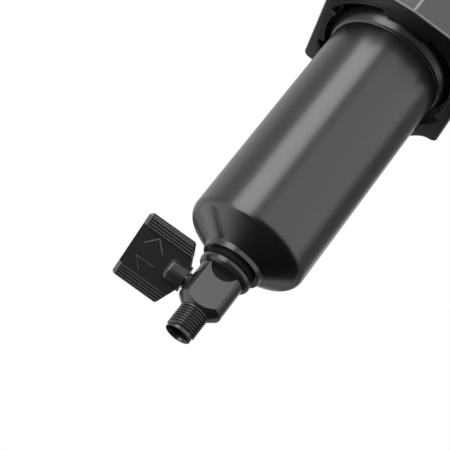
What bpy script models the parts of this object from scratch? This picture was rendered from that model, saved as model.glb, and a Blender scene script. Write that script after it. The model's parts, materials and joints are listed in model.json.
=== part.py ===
"""Compressed air filter: cast head, bayonet bowl, coalescing element and quarter-turn drain valve.

Metres, +Z up. The origin is the middle of the flat pad on top of the head, and all else hangs below it.
Air enters at -Y, goes down into the element, out through its wall and leaves at +Y.
"""

import math

import bmesh
import bpy
from mathutils import Matrix, Vector

PARTS_NAME = "compressed_air_filter"
HELPERS_NAME = "cutters"

# Clearances
GAP = 0.0003  # between faces that rest on each other
SEAL_GAP = 0.0001  # around a rubber seal in its groove
PAST = 0.001  # how far a cutter runs past the wall that it opens

# Roundness
SIDES_LARGE = 40
SIDES = 32
SIDES_SMALL = 20
ARC_STEP = math.radians(30)

# Bowl tube
BOWL_RADIUS = 0.0286
BOWL_WALL = 0.0024
SHOULDER_DROP = 0.1180  # from the underside of the head to the corner above the cone
SHOULDER_ROUND = 0.006
CONE_ANGLE = math.radians(30.46)
FLARE_LENGTH = 0.0057
COLLAR_RISE = 0.0006
NECK_HEIGHT = 0.0026
NECK_RIM = 0.0012
NECK_RECESS = 0.0008
FLOOR_THICKNESS = 0.007

# Bayonet
TAB_REACH = 0.0045  # free space between the collar and the tabs
NOTCH_DEPTH = 0.0034
TAB_THICKNESS = 0.0045
TAB_ANGLE = math.radians(39)
LUG_ANGLE = math.radians(38)
LUG_HEIGHT = 0.0049
LUG_COUNT = 4
STOP_ANGLE = math.radians(5)
STOP_CLEARANCE = math.radians(1)
STOP_DEPTH = 0.0036

# Seal between the bowl and the head
SEAL_LAND = 0.0115
BOWL_SEAL_RADIUS = 0.00105
BOWL_SEAL_GROOVE_DEPTH = 0.0020
BOWL_SEAL_BELOW_RIM = 0.0035

# Head casting
SIDE_WALL = 0.0016
CORNER_SETBACK = 0.0089
CORNER_ROUND = 0.003
END_RISE = 0.0058
RIDGE_RISE = 0.0014
END_MARGIN = 0.0025
ROOF = 0.0127
CEILING_WALL = 0.0032
EDGE_BREAK = 0.0008
DRAFT = 0.0006
HEAD_SHOULDER_DEPTH = 0.015
PAD_SETBACK = 0.0105
PAD_ROUND = 0.0025

# Ports, half-inch pipe thread
PORT_BORE_RADIUS = 0.0093
PORT_THREAD_RADIUS = 0.01048
PORT_BOSS_WALL = 0.005
PORT_BOSS_PROUD = 0.0013
PORT_BOSS_CHAMFER = 0.0008

# Passages in the head
DOWN_BORE_RADIUS = 0.0095
SOCKET_RADIUS = 0.011
SOCKET_WALL = 0.0035
SOCKET_LENGTH = 0.0095
SOCKET_SHOULDER = 0.0015
OUTLET_DROP_RADIUS = 0.0062
PASSAGE_WALL = 0.003

# Plugs that close the two gauge holes, eighth-inch pipe thread
GAUGE_HOLE_REACH = 0.021
PLUG_FLANGE_RADIUS = 0.007
PLUG_FLANGE_HEIGHT = 0.0022
PLUG_THREAD_RADIUS = 0.00486
PLUG_THREAD_LENGTH = 0.0065
PLUG_SOCKET_ACROSS = 0.005
PLUG_SOCKET_DEPTH = 0.0045
PLUG_SUNK = 0.0004
PLUG_SEAL_HEIGHT = 0.0008

# Filter element
ELEMENT_GAP = 0.00225  # between the element and the bowl
SKIRT_WALL = 0.0008
SKIRT_HEIGHT = 0.0055
CAP_HEIGHT = 0.0025
FOAM_WALL = 0.0016
TUBE_WALL = 0.0006
CORE_RADIUS = 0.013
PLEAT_COUNT = 26
PLEAT_PAPER = 0.0016  # the paper's thickness, measured along the radius
ELEMENT_NECK_BORE = 0.0082
ELEMENT_SEAL_RADIUS = 0.0009
ELEMENT_SEAL_GROOVE_DEPTH = 0.0016
CAP_PEG_RADIUS = 0.005
CAP_PEG_LENGTH = 0.004

# Support that stands in the cone of the bowl and carries the element
SUPPORT_HEIGHT = 0.0165
SUPPORT_WALL = 0.0016
SUPPORT_RING_HEIGHT = 0.003
SUPPORT_VANES = 4

# Drain valve
FLANGE_BELOW_NECK = 0.0029
FLANGE_TO_STEM = 0.0142
FLANGE_RADIUS = 0.0124
FLANGE_HEIGHT = 0.0038
FLANGE_ROUND = 0.0013
BODY_RADIUS = 0.0104
BODY_BELOW_STEM = 0.0061
BODY_END_ROUND = 0.0026
BODY_FOOT = 0.0035
FLAT_REACH = 0.0077
SCALLOP_RADIUS = 0.0067
SCALLOP_HEIGHT = 0.0046
SCALLOP_DEPTH = 0.0011
SPIGOT_RADIUS = 0.00658
SPIGOT_LENGTH = 0.0123
SPIGOT_BORE = 0.005
SPIGOT_BORE_DEPTH = 0.0113
LIP_LENGTH = 0.0021
LIP_STEP = 0.0007
STUB_RADIUS = 0.0094
DRAIN_SEAL_WIDTH = 0.0022
DRAIN_SEAL_ROOM = 0.0012  # free space around the seal in the recess of the neck

# Lock nut inside the bowl
LOCKNUT_WALL = 0.0026  # from the thread to the middle of each flat
LOCKNUT_HEIGHT = 0.005
LOCKNUT_CHAMFER = 0.0008

# Ball, seats and stem
BALL_RADIUS = 0.0054
WATERWAY_RADIUS = 0.003
CAVITY_CLEARANCE = 0.0005
SEAT_BORE = 0.0032
SEAT_BACK = 0.0060
SEAT_FRONT = 0.0033
STEM_RADIUS = 0.0026
STEM_IN_HANDLE = 0.0072
TANG_WIDTH = 0.0016
TANG_HEIGHT = 0.0042
TANG_DEPTH = 0.0011
STEM_SEAL_RADIUS = 0.00055
GLAND_LENGTH = 0.0025
GLAND_RADIUS = 0.0038
GLAND_PROUD = 0.0007
GLAND_SLOT = 0.0012

# Wing handle
HANDLE_TURN = math.radians(35)  # how far the drain is turned from open towards closed, as photographed
BOSS_RADIUS = 0.0055
BOSS_LENGTH = 0.0095
BOSS_ROUND = 0.0022
WING_REACH = 0.0394  # from the axis of the bowl to the outer edge
WING_HALF_HEIGHT = 0.0153
WING_TAPER_START = 0.0166
WING_TAPER_END = 0.0125
WING_TAPER_HALF_HEIGHT = 0.0059
WING_CORNER = 0.002
WING_EDGE = 0.0005
PANEL_HALF_THICKNESS = 0.0013
BAND_HEIGHT = 0.0053
BAND_HALF_THICKNESS = 0.0025
BAND_END_BLOCK = 0.0018
RIB_COUNT = 5
RIB_DEPTH = 0.0006

# Sizes that follow from those above
COLLAR_RADIUS = BOWL_RADIUS + COLLAR_RISE
BOWL_INSIDE = BOWL_RADIUS - BOWL_WALL
TAB_RADIUS = COLLAR_RADIUS + TAB_REACH
NOTCH_RADIUS = TAB_RADIUS + NOTCH_DEPTH
LUG_RADIUS = NOTCH_RADIUS - GAP
BORE_RADIUS = COLLAR_RADIUS + GAP
LUG_SPACING = math.tau / LUG_COUNT

PORT_BOSS_RADIUS = PORT_THREAD_RADIUS + PORT_BOSS_WALL
HEAD_HALF_WIDTH = NOTCH_RADIUS + SIDE_WALL
CORNER_REACH = HEAD_HALF_WIDTH - CORNER_SETBACK
END_HALF_WIDTH = PORT_BOSS_RADIUS + END_MARGIN
END_REACH = HEAD_HALF_WIDTH + END_RISE
RIDGE_REACH = END_REACH + RIDGE_RISE
PORT_FACE = RIDGE_REACH + PORT_BOSS_PROUD
LUG_GROOVE_HEIGHT = LUG_HEIGHT + 2 * GAP

PORT_Z = -ROOF - PORT_BORE_RADIUS
CEILING_Z = PORT_Z - PORT_BORE_RADIUS - CEILING_WALL
GROOVE_TOP_Z = CEILING_Z - SEAL_LAND
TAB_TOP_Z = GROOVE_TOP_Z - LUG_GROOVE_HEIGHT
UNDERSIDE_Z = TAB_TOP_Z - TAB_THICKNESS
SOCKET_END_Z = CEILING_Z - SOCKET_LENGTH
SOCKET_SHOULDER_Z = CEILING_Z - SOCKET_SHOULDER

BOWL_TOP_Z = CEILING_Z - 2 * GAP
SHOULDER_Z = UNDERSIDE_Z - SHOULDER_DROP
NECK_RADIUS = STUB_RADIUS + SEAL_GAP + DRAIN_SEAL_WIDTH + DRAIN_SEAL_ROOM + NECK_RIM
CONE_END_Z = SHOULDER_Z - (BOWL_RADIUS - NECK_RADIUS) * math.tan(CONE_ANGLE)
NECK_Z = CONE_END_Z - NECK_HEIGHT
RECESS_Z = NECK_Z + NECK_RECESS
FLOOR_Z = NECK_Z + FLOOR_THICKNESS
LOCKNUT_ACROSS = 2 * (STUB_RADIUS + LOCKNUT_WALL)
NUT_CORNER = LOCKNUT_ACROSS / 2 / math.cos(math.pi / 6)
FLOOR_RADIUS = NUT_CORNER + 2 * GAP
INNER_SHOULDER_Z = FLOOR_Z + (BOWL_INSIDE - FLOOR_RADIUS) * math.tan(CONE_ANGLE)

ELEMENT_RADIUS = BOWL_INSIDE - ELEMENT_GAP
FOAM_RADIUS = ELEMENT_RADIUS - SKIRT_WALL - GAP
OUTER_TUBE_RADIUS = FOAM_RADIUS - FOAM_WALL - GAP
MEDIA_RADIUS = OUTER_TUBE_RADIUS - TUBE_WALL - GAP
ELEMENT_NECK_RADIUS = SOCKET_RADIUS - GAP
TOP_CAP_Z = SOCKET_END_Z - GAP
SUPPORT_TOP_Z = FLOOR_Z + SUPPORT_HEIGHT
BOTTOM_CAP_Z = SUPPORT_TOP_Z + GAP
MEDIA_TOP_Z = TOP_CAP_Z - CAP_HEIGHT - GAP
MEDIA_BOTTOM_Z = BOTTOM_CAP_Z + CAP_HEIGHT + GAP

FLANGE_TOP_Z = NECK_Z - FLANGE_BELOW_NECK
FLANGE_UNDER_Z = FLANGE_TOP_Z - FLANGE_HEIGHT
STEM_Z = FLANGE_TOP_Z - FLANGE_TO_STEM
BODY_END_Z = STEM_Z - BODY_BELOW_STEM
SPIGOT_TOP_Z = BODY_END_Z - BODY_FOOT
SPIGOT_END_Z = SPIGOT_TOP_Z - SPIGOT_LENGTH
STUB_TOP_Z = FLOOR_Z + LOCKNUT_HEIGHT + 4 * GAP
CAVITY_RADIUS = BALL_RADIUS + CAVITY_CLEARANCE
SEAT_RADIUS = CAVITY_RADIUS - GAP

GLAND_BORE = GLAND_RADIUS + SEAL_GAP
GLAND_OUTER = BODY_RADIUS + GLAND_PROUD
GLAND_INNER = GLAND_OUTER - GLAND_LENGTH
STEM_BORE_END = GLAND_INNER - 2 * (STEM_SEAL_RADIUS + SEAL_GAP)
BOSS_START = GLAND_OUTER + GAP
BOSS_END = BOSS_START + BOSS_LENGTH

ALONG_FLOW_IN = Matrix.Rotation(math.radians(90), 4, "X")  # +Z of a turned piece points to -Y
ALONG_FLOW_OUT = Matrix.Rotation(math.radians(-90), 4, "X")  # and here to +Y
ALONG_STEM = Matrix.Rotation(math.radians(-90), 4, "Y")  # and here to -X
AT_STEM = Matrix.Translation((0, 0, STEM_Z))
AS_TURNED = AT_STEM @ Matrix.Rotation(HANDLE_TURN, 4, "X")  # places the pieces that turn with the handle


def clear_scene():
    for thing in list(bpy.data.objects):
        bpy.data.objects.remove(thing, do_unlink=True)


def new_collection(name):
    group = bpy.data.collections.new(name)
    bpy.context.scene.collection.children.link(group)
    return group


def material(name, colour, roughness, metallic=0.0):
    made = bpy.data.materials.new(name)
    made.use_nodes = True
    shader = made.node_tree.nodes["Principled BSDF"]
    shader.inputs["Base Color"].default_value = (*colour, 1)
    shader.inputs["Roughness"].default_value = roughness
    shader.inputs["Metallic"].default_value = metallic
    return made


def piece(name, mesh, finish=None, place=None):
    """An object that holds the mesh: a part where it has a finish, else a helper for cuts and joins."""
    made = bpy.data.objects.new(name, mesh)
    if place is not None:
        mesh.transform(place)
    if finish is None:
        bpy.data.collections[HELPERS_NAME].objects.link(made)
        made.hide_render = True
        made.display_type = "WIRE"
        return made
    bpy.data.collections[PARTS_NAME].objects.link(made)
    mesh.materials.append(finish)
    return made


def frozen(made):
    """The evaluated shape of a helper object as a welded mesh, shaded smooth over its round stretches."""
    graph = bpy.context.evaluated_depsgraph_get()
    mesh = bpy.data.meshes.new_from_object(made.evaluated_get(graph))
    bpy.data.objects.remove(made, do_unlink=True)
    shape = bmesh.new()
    shape.from_mesh(mesh)
    bmesh.ops.remove_doubles(shape, verts=shape.verts, dist=1e-6)
    shape.to_mesh(mesh)
    shape.free()
    mesh.shade_smooth()
    mesh.set_sharp_from_angle(angle=math.radians(35))
    return mesh


def rounded(corners):
    """Points of an outline of (x, y) or (x, y, radius) corners, with an arc at each corner that has a radius."""
    points = []
    for i, corner in enumerate(corners):
        here = Vector(corner[:2])
        if len(corner) < 3:
            points.append(here)
            continue
        before = (Vector(corners[i - 1][:2]) - here).normalized()
        after = (Vector(corners[(i + 1) % len(corners)][:2]) - here).normalized()
        half = before.angle(after) / 2
        centre = here + (before + after).normalized() * (corner[2] / math.sin(half))
        start = here + before * (corner[2] / math.tan(half)) - centre
        turn = math.pi - 2 * half
        sense = 1 if before.cross(after) < 0 else -1
        steps = max(2, math.ceil(turn / ARC_STEP))
        for k in range(steps + 1):
            points.append(centre + Matrix.Rotation(sense * turn * k / steps, 2) @ start)
    return points


def turned(corners, sides, closed=True):
    """Mesh of a turned piece. The profile runs down its outer side; an open one starts and ends on the axis."""
    outline = rounded(corners)
    edges = [(i, i + 1) for i in range(len(outline) - 1)]
    if closed:
        edges.append((len(outline) - 1, 0))
    profile = bpy.data.meshes.new("profile")
    profile.from_pydata([(r, 0, z) for r, z in outline], edges, [])
    made = bpy.data.objects.new("profile", profile)
    bpy.data.collections[HELPERS_NAME].objects.link(made)
    screw = made.modifiers.new("turn", "SCREW")
    screw.steps = sides
    screw.render_steps = sides
    screw.use_merge_vertices = True
    screw.merge_threshold = 0.00001
    return frozen(made)


def ring(inner, outer, low, high, sides):
    """Mesh of a turned ring of rectangular section."""
    return turned([(outer, high), (outer, low), (inner, low), (inner, high)], sides)


def rod(radius, low, high, sides):
    """Mesh of a plain round bar along Z."""
    return turned([(0, high), (radius, high), (radius, low), (0, low)], sides, closed=False)


def prism(outlines, low, high):
    """Mesh of flat outlines in XY, raised from low to high. An outline inside another is a hole."""
    curve = bpy.data.curves.new("outline", "CURVE")
    curve.dimensions = "2D"
    curve.fill_mode = "BOTH"
    curve.extrude = (high - low) / 2
    for outline in outlines:
        spline = curve.splines.new("POLY")
        spline.points.add(len(outline) - 1)
        spline.use_cyclic_u = True
        for point, (x, y) in zip(spline.points, outline):
            point.co = (x, y, 0, 1)
    made = bpy.data.objects.new("outline", curve)
    bpy.data.collections[HELPERS_NAME].objects.link(made)
    mesh = frozen(made)
    mesh.transform(Matrix.Translation((0, 0, (high + low) / 2)))
    return mesh


def block(low, high):
    """Mesh of a box between two corners."""
    mesh = bpy.data.meshes.new("block")
    shape = bmesh.new()
    bmesh.ops.create_cube(shape, size=1)
    size = [b - a for a, b in zip(low, high)]
    middle = [(a + b) / 2 for a, b in zip(low, high)]
    bmesh.ops.scale(shape, verts=shape.verts, vec=size)
    bmesh.ops.translate(shape, verts=shape.verts, vec=middle)
    shape.to_mesh(mesh)
    shape.free()
    return mesh


def torus(major, minor, z, sides, section=6):
    """Mesh of a round seal in the XY plane."""
    corners = []
    for k in range(section):
        angle = -math.tau * (k + 0.5) / section
        corners.append((major + minor * math.cos(angle), z + minor * math.sin(angle)))
    return turned(corners, sides)


def sector(inner, outer, middle, width, steps=6):
    """Outline of part of a ring, width radians wide about the direction middle."""
    angles = [middle + width * (k / steps - 0.5) for k in range(steps + 1)]
    outside = [(outer * math.cos(a), outer * math.sin(a)) for a in angles]
    inside = [(inner * math.cos(a), inner * math.sin(a)) for a in reversed(angles)]
    return outside + inside


def polygon(across, sides):
    """Outline of a regular polygon with flats across apart."""
    reach = across / 2 / math.cos(math.pi / sides)
    angles = [math.tau * (k + 0.5) / sides for k in range(sides)]
    return [(reach * math.cos(a), reach * math.sin(a)) for a in angles]


def boolean(target, helper, operation):
    step = target.modifiers.new(helper.name, "BOOLEAN")
    step.operation = operation
    step.object = helper
    step.solver = "EXACT"


def cut(target, name, mesh, place=None):
    boolean(target, piece(name, mesh, place=place), "DIFFERENCE")


def join(target, name, mesh, place=None):
    boolean(target, piece(name, mesh, place=place), "UNION")


def keep_inside(target, name, mesh, place=None):
    boolean(target, piece(name, mesh, place=place), "INTERSECT")


def around(count, first=0.0):
    """Directions of equally spaced copies."""
    return [first + math.tau * k / count for k in range(count)]


def head_outline():
    """Plan of the casting: straight sides, rounded corners that flare into the two slightly ridged ends."""
    corner = rounded(
        [
            (HEAD_HALF_WIDTH, 0),
            (HEAD_HALF_WIDTH, CORNER_REACH, CORNER_ROUND),
            (END_HALF_WIDTH, CORNER_REACH),
        ]
    )[1:-1]
    start, flare_steps = corner[-1], 6
    quarter = [(p.x, p.y) for p in corner]
    for k in range(1, flare_steps + 1):
        share = k / flare_steps
        rise = (1 - math.cos(math.pi * share)) / 2
        x = start.x + (END_HALF_WIDTH - start.x) * share
        quarter.append((x, start.y + (END_REACH - start.y) * rise))
    other = [(-x, y) for x, y in reversed(quarter)]
    half = quarter + [(0, RIDGE_REACH)] + other
    return half + [(-x, -y) for x, y in half]


def head_shell():
    """Mesh of the outer form of the head: its plan, drawn in towards the pad on top."""
    levels = [
        (UNDERSIDE_Z, EDGE_BREAK),
        (UNDERSIDE_Z + EDGE_BREAK, 0),
        (PORT_Z, DRAFT),
        (-HEAD_SHOULDER_DEPTH, 2 * DRAFT),
    ]
    arc_steps = 4
    for k in range(1, arc_steps + 1):
        turn = math.pi / 2 * k / arc_steps
        fall = HEAD_SHOULDER_DEPTH - PAD_ROUND
        inset = 2 * DRAFT + (PAD_SETBACK - PAD_ROUND) * (1 - math.cos(turn))
        levels.append((-HEAD_SHOULDER_DEPTH + fall * math.sin(turn), inset))
    levels.append((0, PAD_SETBACK))
    plan = head_outline()
    shape = bmesh.new()
    below = None
    for z, inset in levels:
        across = 1 - inset / HEAD_HALF_WIDTH
        along = 1 - inset / RIDGE_REACH
        level = [shape.verts.new((x * across, y * along, z)) for x, y in plan]
        if below is None:
            shape.faces.new(reversed(level))
        else:
            for i in range(len(plan)):
                j = (i + 1) % len(plan)
                shape.faces.new((below[i], below[j], level[j], level[i]))
        below = level
    shape.faces.new(below)
    mesh = bpy.data.meshes.new("head")
    shape.to_mesh(mesh)
    shape.free()
    mesh.shade_smooth()
    mesh.set_sharp_from_angle(angle=math.radians(35))
    return mesh


def port_cutter(depth):
    """Mesh of one port along Z, its mouth at 0: a chamfer at the face, then the bore."""
    chamfer = PORT_THREAD_RADIUS - PORT_BORE_RADIUS
    return turned(
        [
            (0, PAST),
            (PORT_THREAD_RADIUS + PAST, PAST),
            (PORT_BORE_RADIUS, -chamfer),
            (PORT_BORE_RADIUS, -depth),
            (0, -depth),
        ],
        SIDES,
        closed=False,
    )


def add_ports(head):
    boss = [
        (0, 0),
        (PORT_BOSS_RADIUS - PORT_BOSS_CHAMFER, 0),
        (PORT_BOSS_RADIUS, -PORT_BOSS_CHAMFER),
        (PORT_BOSS_RADIUS, -PORT_FACE + NOTCH_RADIUS - PORT_BOSS_RADIUS),
        (0, -PORT_FACE + NOTCH_RADIUS - PORT_BOSS_RADIUS),
    ]
    to_face = Matrix.Translation((0, 0, PORT_FACE))
    at_port = Matrix.Translation((0, 0, PORT_Z))
    for side, turn in (("inlet", ALONG_FLOW_IN), ("outlet", ALONG_FLOW_OUT)):
        join(head, side + "_boss", turned(boss, SIDES, closed=False), at_port @ turn @ to_face)


def cut_ports(head):
    to_face = Matrix.Translation((0, 0, PORT_FACE))
    at_port = Matrix.Translation((0, 0, PORT_Z))
    outlet_depth = PORT_FACE - DOWN_BORE_RADIUS - PASSAGE_WALL
    cut(head, "inlet_bore", port_cutter(PORT_FACE), at_port @ ALONG_FLOW_IN @ to_face)
    cut(head, "outlet_bore", port_cutter(outlet_depth), at_port @ ALONG_FLOW_OUT @ to_face)


def bowl_chamber():
    """Mesh of the space in the head for the bowl's neck and lugs, round the tube that carries the element."""
    tube = SOCKET_RADIUS + SOCKET_WALL
    bottom = UNDERSIDE_Z - PAST
    return turned(
        [
            (0, SOCKET_END_Z),
            (tube, SOCKET_END_Z),
            (tube, CEILING_Z),
            (BORE_RADIUS, CEILING_Z),
            (BORE_RADIUS, GROOVE_TOP_Z),
            (NOTCH_RADIUS, GROOVE_TOP_Z),
            (NOTCH_RADIUS, TAB_TOP_Z),
            (TAB_RADIUS, TAB_TOP_Z),
            (TAB_RADIUS, bottom),
            (0, bottom),
        ],
        SIDES_LARGE,
        closed=False,
    )


def element_socket():
    """Mesh of the way down from the inlet into the element's neck."""
    end = SOCKET_END_Z - PAST
    return turned(
        [
            (0, PORT_Z),
            (DOWN_BORE_RADIUS, PORT_Z),
            (DOWN_BORE_RADIUS, SOCKET_SHOULDER_Z),
            (SOCKET_RADIUS, SOCKET_SHOULDER_Z),
            (SOCKET_RADIUS, end),
            (0, end),
        ],
        SIDES,
        closed=False,
    )


def gauge_hole():
    """Mesh of one gauge hole: a spot face for the plug's flange and a tapped hole down to the port."""
    spot = -PLUG_SUNK - PLUG_FLANGE_HEIGHT - PLUG_SEAL_HEIGHT - 2 * SEAL_GAP
    spot_radius = PLUG_FLANGE_RADIUS + GAP
    hole = PLUG_THREAD_RADIUS + SEAL_GAP
    return turned(
        [(0, PAST), (spot_radius, PAST), (spot_radius, spot), (hole, spot), (hole, PORT_Z), (0, PORT_Z)],
        SIDES_SMALL,
        closed=False,
    )


def make_head(finish):
    """Die-cast head with its ports, passages, gauge holes and the bayonet's tabs and stops."""
    head = piece("head", head_shell(), finish)
    add_ports(head)
    cut(head, "bowl_chamber", bowl_chamber())
    notch = LUG_SPACING - TAB_ANGLE
    notches = [
        sector(TAB_RADIUS - PAST, NOTCH_RADIUS, middle, notch)
        for middle in around(LUG_COUNT, LUG_SPACING / 2)
    ]
    cut(head, "bayonet_notches", prism(notches, UNDERSIDE_Z - PAST, TAB_TOP_Z + PAST))
    first_stop = (LUG_ANGLE + STOP_ANGLE) / 2 + STOP_CLEARANCE
    stops = [
        sector(NOTCH_RADIUS - STOP_DEPTH, NOTCH_RADIUS + SIDE_WALL / 2, middle, STOP_ANGLE, steps=2)
        for middle in around(LUG_COUNT, first_stop)
    ]
    join(head, "bayonet_stops", prism(stops, TAB_TOP_Z, GROOVE_TOP_Z + PAST))
    cut(head, "element_socket", element_socket())
    cut_ports(head)
    drop_y = DOWN_BORE_RADIUS + PASSAGE_WALL + OUTLET_DROP_RADIUS + PASSAGE_WALL
    drop = rod(OUTLET_DROP_RADIUS, CEILING_Z - PAST, PORT_Z, SIDES_SMALL)
    cut(head, "outlet_drop", drop, Matrix.Translation((0, drop_y, 0)))
    for side, y in (("inlet", -GAUGE_HOLE_REACH), ("outlet", GAUGE_HOLE_REACH)):
        cut(head, side + "_gauge_hole", gauge_hole(), Matrix.Translation((0, y, 0)))


def make_gauge_plug(side, y, steel, rubber):
    """Blanking plug with a hexagon socket, and the seal under its flange."""
    place = Matrix.Translation((0, y, 0))
    top = -PLUG_SUNK
    under = top - PLUG_FLANGE_HEIGHT
    end = under - PLUG_THREAD_LENGTH
    edge = 2 * GAP
    corners = [
        (0, top),
        (PLUG_FLANGE_RADIUS - edge, top),
        (PLUG_FLANGE_RADIUS, top - edge),
        (PLUG_FLANGE_RADIUS, under),
        (PLUG_THREAD_RADIUS, under),
        (PLUG_THREAD_RADIUS, end + edge),
        (PLUG_THREAD_RADIUS - edge, end),
        (0, end),
    ]
    name = side + "_gauge_plug"
    plug = piece(name, turned(corners, SIDES_SMALL, closed=False), steel, place)
    socket = prism([polygon(PLUG_SOCKET_ACROSS, 6)], top - PLUG_SOCKET_DEPTH, top + PAST)
    cut(plug, name + "_socket", socket, place)
    seal_top = under - SEAL_GAP
    seal = ring(
        PLUG_THREAD_RADIUS + SEAL_GAP,
        PLUG_FLANGE_RADIUS - GAP,
        seal_top - PLUG_SEAL_HEIGHT,
        seal_top,
        SIDES_SMALL,
    )
    piece(name + "_seal", seal, rubber, place)


def bowl_profile():
    """Outline of the bowl's wall, from its rim down the outside and back up the inside."""
    rim_edge = 2 * GAP
    seal_z = BOWL_TOP_Z - BOWL_SEAL_BELOW_RIM
    half_groove = BOWL_SEAL_RADIUS + SEAL_GAP
    groove_floor = COLLAR_RADIUS - BOWL_SEAL_GROOVE_DEPTH
    return [
        (COLLAR_RADIUS - rim_edge, BOWL_TOP_Z),
        (COLLAR_RADIUS, BOWL_TOP_Z - rim_edge),
        (COLLAR_RADIUS, seal_z + half_groove),
        (groove_floor, seal_z + half_groove),
        (groove_floor, seal_z - half_groove),
        (COLLAR_RADIUS, seal_z - half_groove),
        (COLLAR_RADIUS, UNDERSIDE_Z),
        (BOWL_RADIUS, UNDERSIDE_Z - FLARE_LENGTH, FLARE_LENGTH / 2),
        (BOWL_RADIUS, SHOULDER_Z, SHOULDER_ROUND),
        (NECK_RADIUS, CONE_END_Z),
        (NECK_RADIUS, NECK_Z, NECK_RIM / 3),
        (NECK_RADIUS - NECK_RIM, NECK_Z),
        (NECK_RADIUS - NECK_RIM, RECESS_Z),
        (STUB_RADIUS + GAP, RECESS_Z),
        (STUB_RADIUS + GAP, FLOOR_Z),
        (FLOOR_RADIUS, FLOOR_Z),
        (BOWL_INSIDE, INNER_SHOULDER_Z, SHOULDER_ROUND - BOWL_WALL),
        (BOWL_INSIDE, BOWL_TOP_Z),
    ]


def make_bowl(finish, rubber):
    """Aluminium bowl with its bayonet lugs, and the seal in its neck."""
    bowl = piece("bowl", turned(bowl_profile(), SIDES_LARGE), finish)
    lugs = [
        sector(BOWL_INSIDE + BOWL_WALL / 2, LUG_RADIUS, middle, LUG_ANGLE)
        for middle in around(LUG_COUNT)
    ]
    lug_low = TAB_TOP_Z + GAP
    join(bowl, "bayonet_lugs", prism(lugs, lug_low, lug_low + LUG_HEIGHT))
    groove_floor = COLLAR_RADIUS - BOWL_SEAL_GROOVE_DEPTH
    seal_radius = groove_floor + SEAL_GAP + BOWL_SEAL_RADIUS
    seal_z = BOWL_TOP_Z - BOWL_SEAL_BELOW_RIM
    seal = torus(seal_radius, BOWL_SEAL_RADIUS, seal_z, SIDES_LARGE)
    return [bowl, piece("bowl_seal", seal, rubber)]


def make_element_caps(plastic, rubber):
    """End caps of the element, the upper one with the neck and seal that push into the head."""
    neck_top = SOCKET_SHOULDER_Z - GAP
    seal_z = (SOCKET_SHOULDER_Z + SOCKET_END_Z) / 2
    half_groove = ELEMENT_SEAL_RADIUS + SEAL_GAP
    groove_floor = ELEMENT_NECK_RADIUS - ELEMENT_SEAL_GROOVE_DEPTH
    skirt_inside = ELEMENT_RADIUS - SKIRT_WALL
    cap_low = TOP_CAP_Z - CAP_HEIGHT
    top = [
        (ELEMENT_NECK_RADIUS - 2 * GAP, neck_top),
        (ELEMENT_NECK_RADIUS, neck_top - 2 * GAP),
        (ELEMENT_NECK_RADIUS, seal_z + half_groove),
        (groove_floor, seal_z + half_groove),
        (groove_floor, seal_z - half_groove),
        (ELEMENT_NECK_RADIUS, seal_z - half_groove),
        (ELEMENT_NECK_RADIUS, TOP_CAP_Z),
        (ELEMENT_RADIUS, TOP_CAP_Z, SKIRT_WALL),
        (ELEMENT_RADIUS, TOP_CAP_Z - SKIRT_HEIGHT),
        (skirt_inside, TOP_CAP_Z - SKIRT_HEIGHT),
        (skirt_inside, cap_low),
        (ELEMENT_NECK_BORE, cap_low),
        (ELEMENT_NECK_BORE, neck_top),
    ]
    piece("element_top_cap", turned(top, SIDES), plastic)
    seal_radius = groove_floor + SEAL_GAP + ELEMENT_SEAL_RADIUS
    seal = torus(seal_radius, ELEMENT_SEAL_RADIUS, seal_z, SIDES)
    piece("element_neck_seal", seal, rubber)
    cap_high = BOTTOM_CAP_Z + CAP_HEIGHT
    bottom = [
        (0, cap_high),
        (skirt_inside, cap_high),
        (skirt_inside, BOTTOM_CAP_Z + SKIRT_HEIGHT),
        (ELEMENT_RADIUS, BOTTOM_CAP_Z + SKIRT_HEIGHT),
        (ELEMENT_RADIUS, BOTTOM_CAP_Z, SKIRT_WALL),
        (CAP_PEG_RADIUS, BOTTOM_CAP_Z),
        (CAP_PEG_RADIUS, BOTTOM_CAP_Z - CAP_PEG_LENGTH),
        (0, BOTTOM_CAP_Z - CAP_PEG_LENGTH),
    ]
    piece("element_bottom_cap", turned(bottom, SIDES, closed=False), plastic)


def pleats():
    """Outlines of the pleated paper, its outside and its inside."""
    inner = CORE_RADIUS + GAP
    outside, inside = [], []
    for angle in around(2 * PLEAT_COUNT):
        peak = len(outside) % 2 == 0
        out_r = MEDIA_RADIUS if peak else inner + PLEAT_PAPER
        in_r = MEDIA_RADIUS - PLEAT_PAPER if peak else inner
        outside.append((out_r * math.cos(angle), out_r * math.sin(angle)))
        inside.append((in_r * math.cos(angle), in_r * math.sin(angle)))
    return [outside, inside]


def make_element_layers(steel, paper, foam):
    """Layers of the element from the inside out: steel core, pleated paper, steel tube, drain sleeve."""
    low, high = MEDIA_BOTTOM_Z, MEDIA_TOP_Z
    layers = {
        "element_core": (CORE_RADIUS - TUBE_WALL, CORE_RADIUS, steel),
        "element_outer_tube": (OUTER_TUBE_RADIUS - TUBE_WALL, OUTER_TUBE_RADIUS, steel),
        "element_drain_sleeve": (FOAM_RADIUS - FOAM_WALL, FOAM_RADIUS, foam),
    }
    for name, (inner, outer, finish) in layers.items():
        piece(name, ring(inner, outer, low, high, SIDES), finish)
    piece("element_media", prism(pleats(), low, high), paper)


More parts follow.
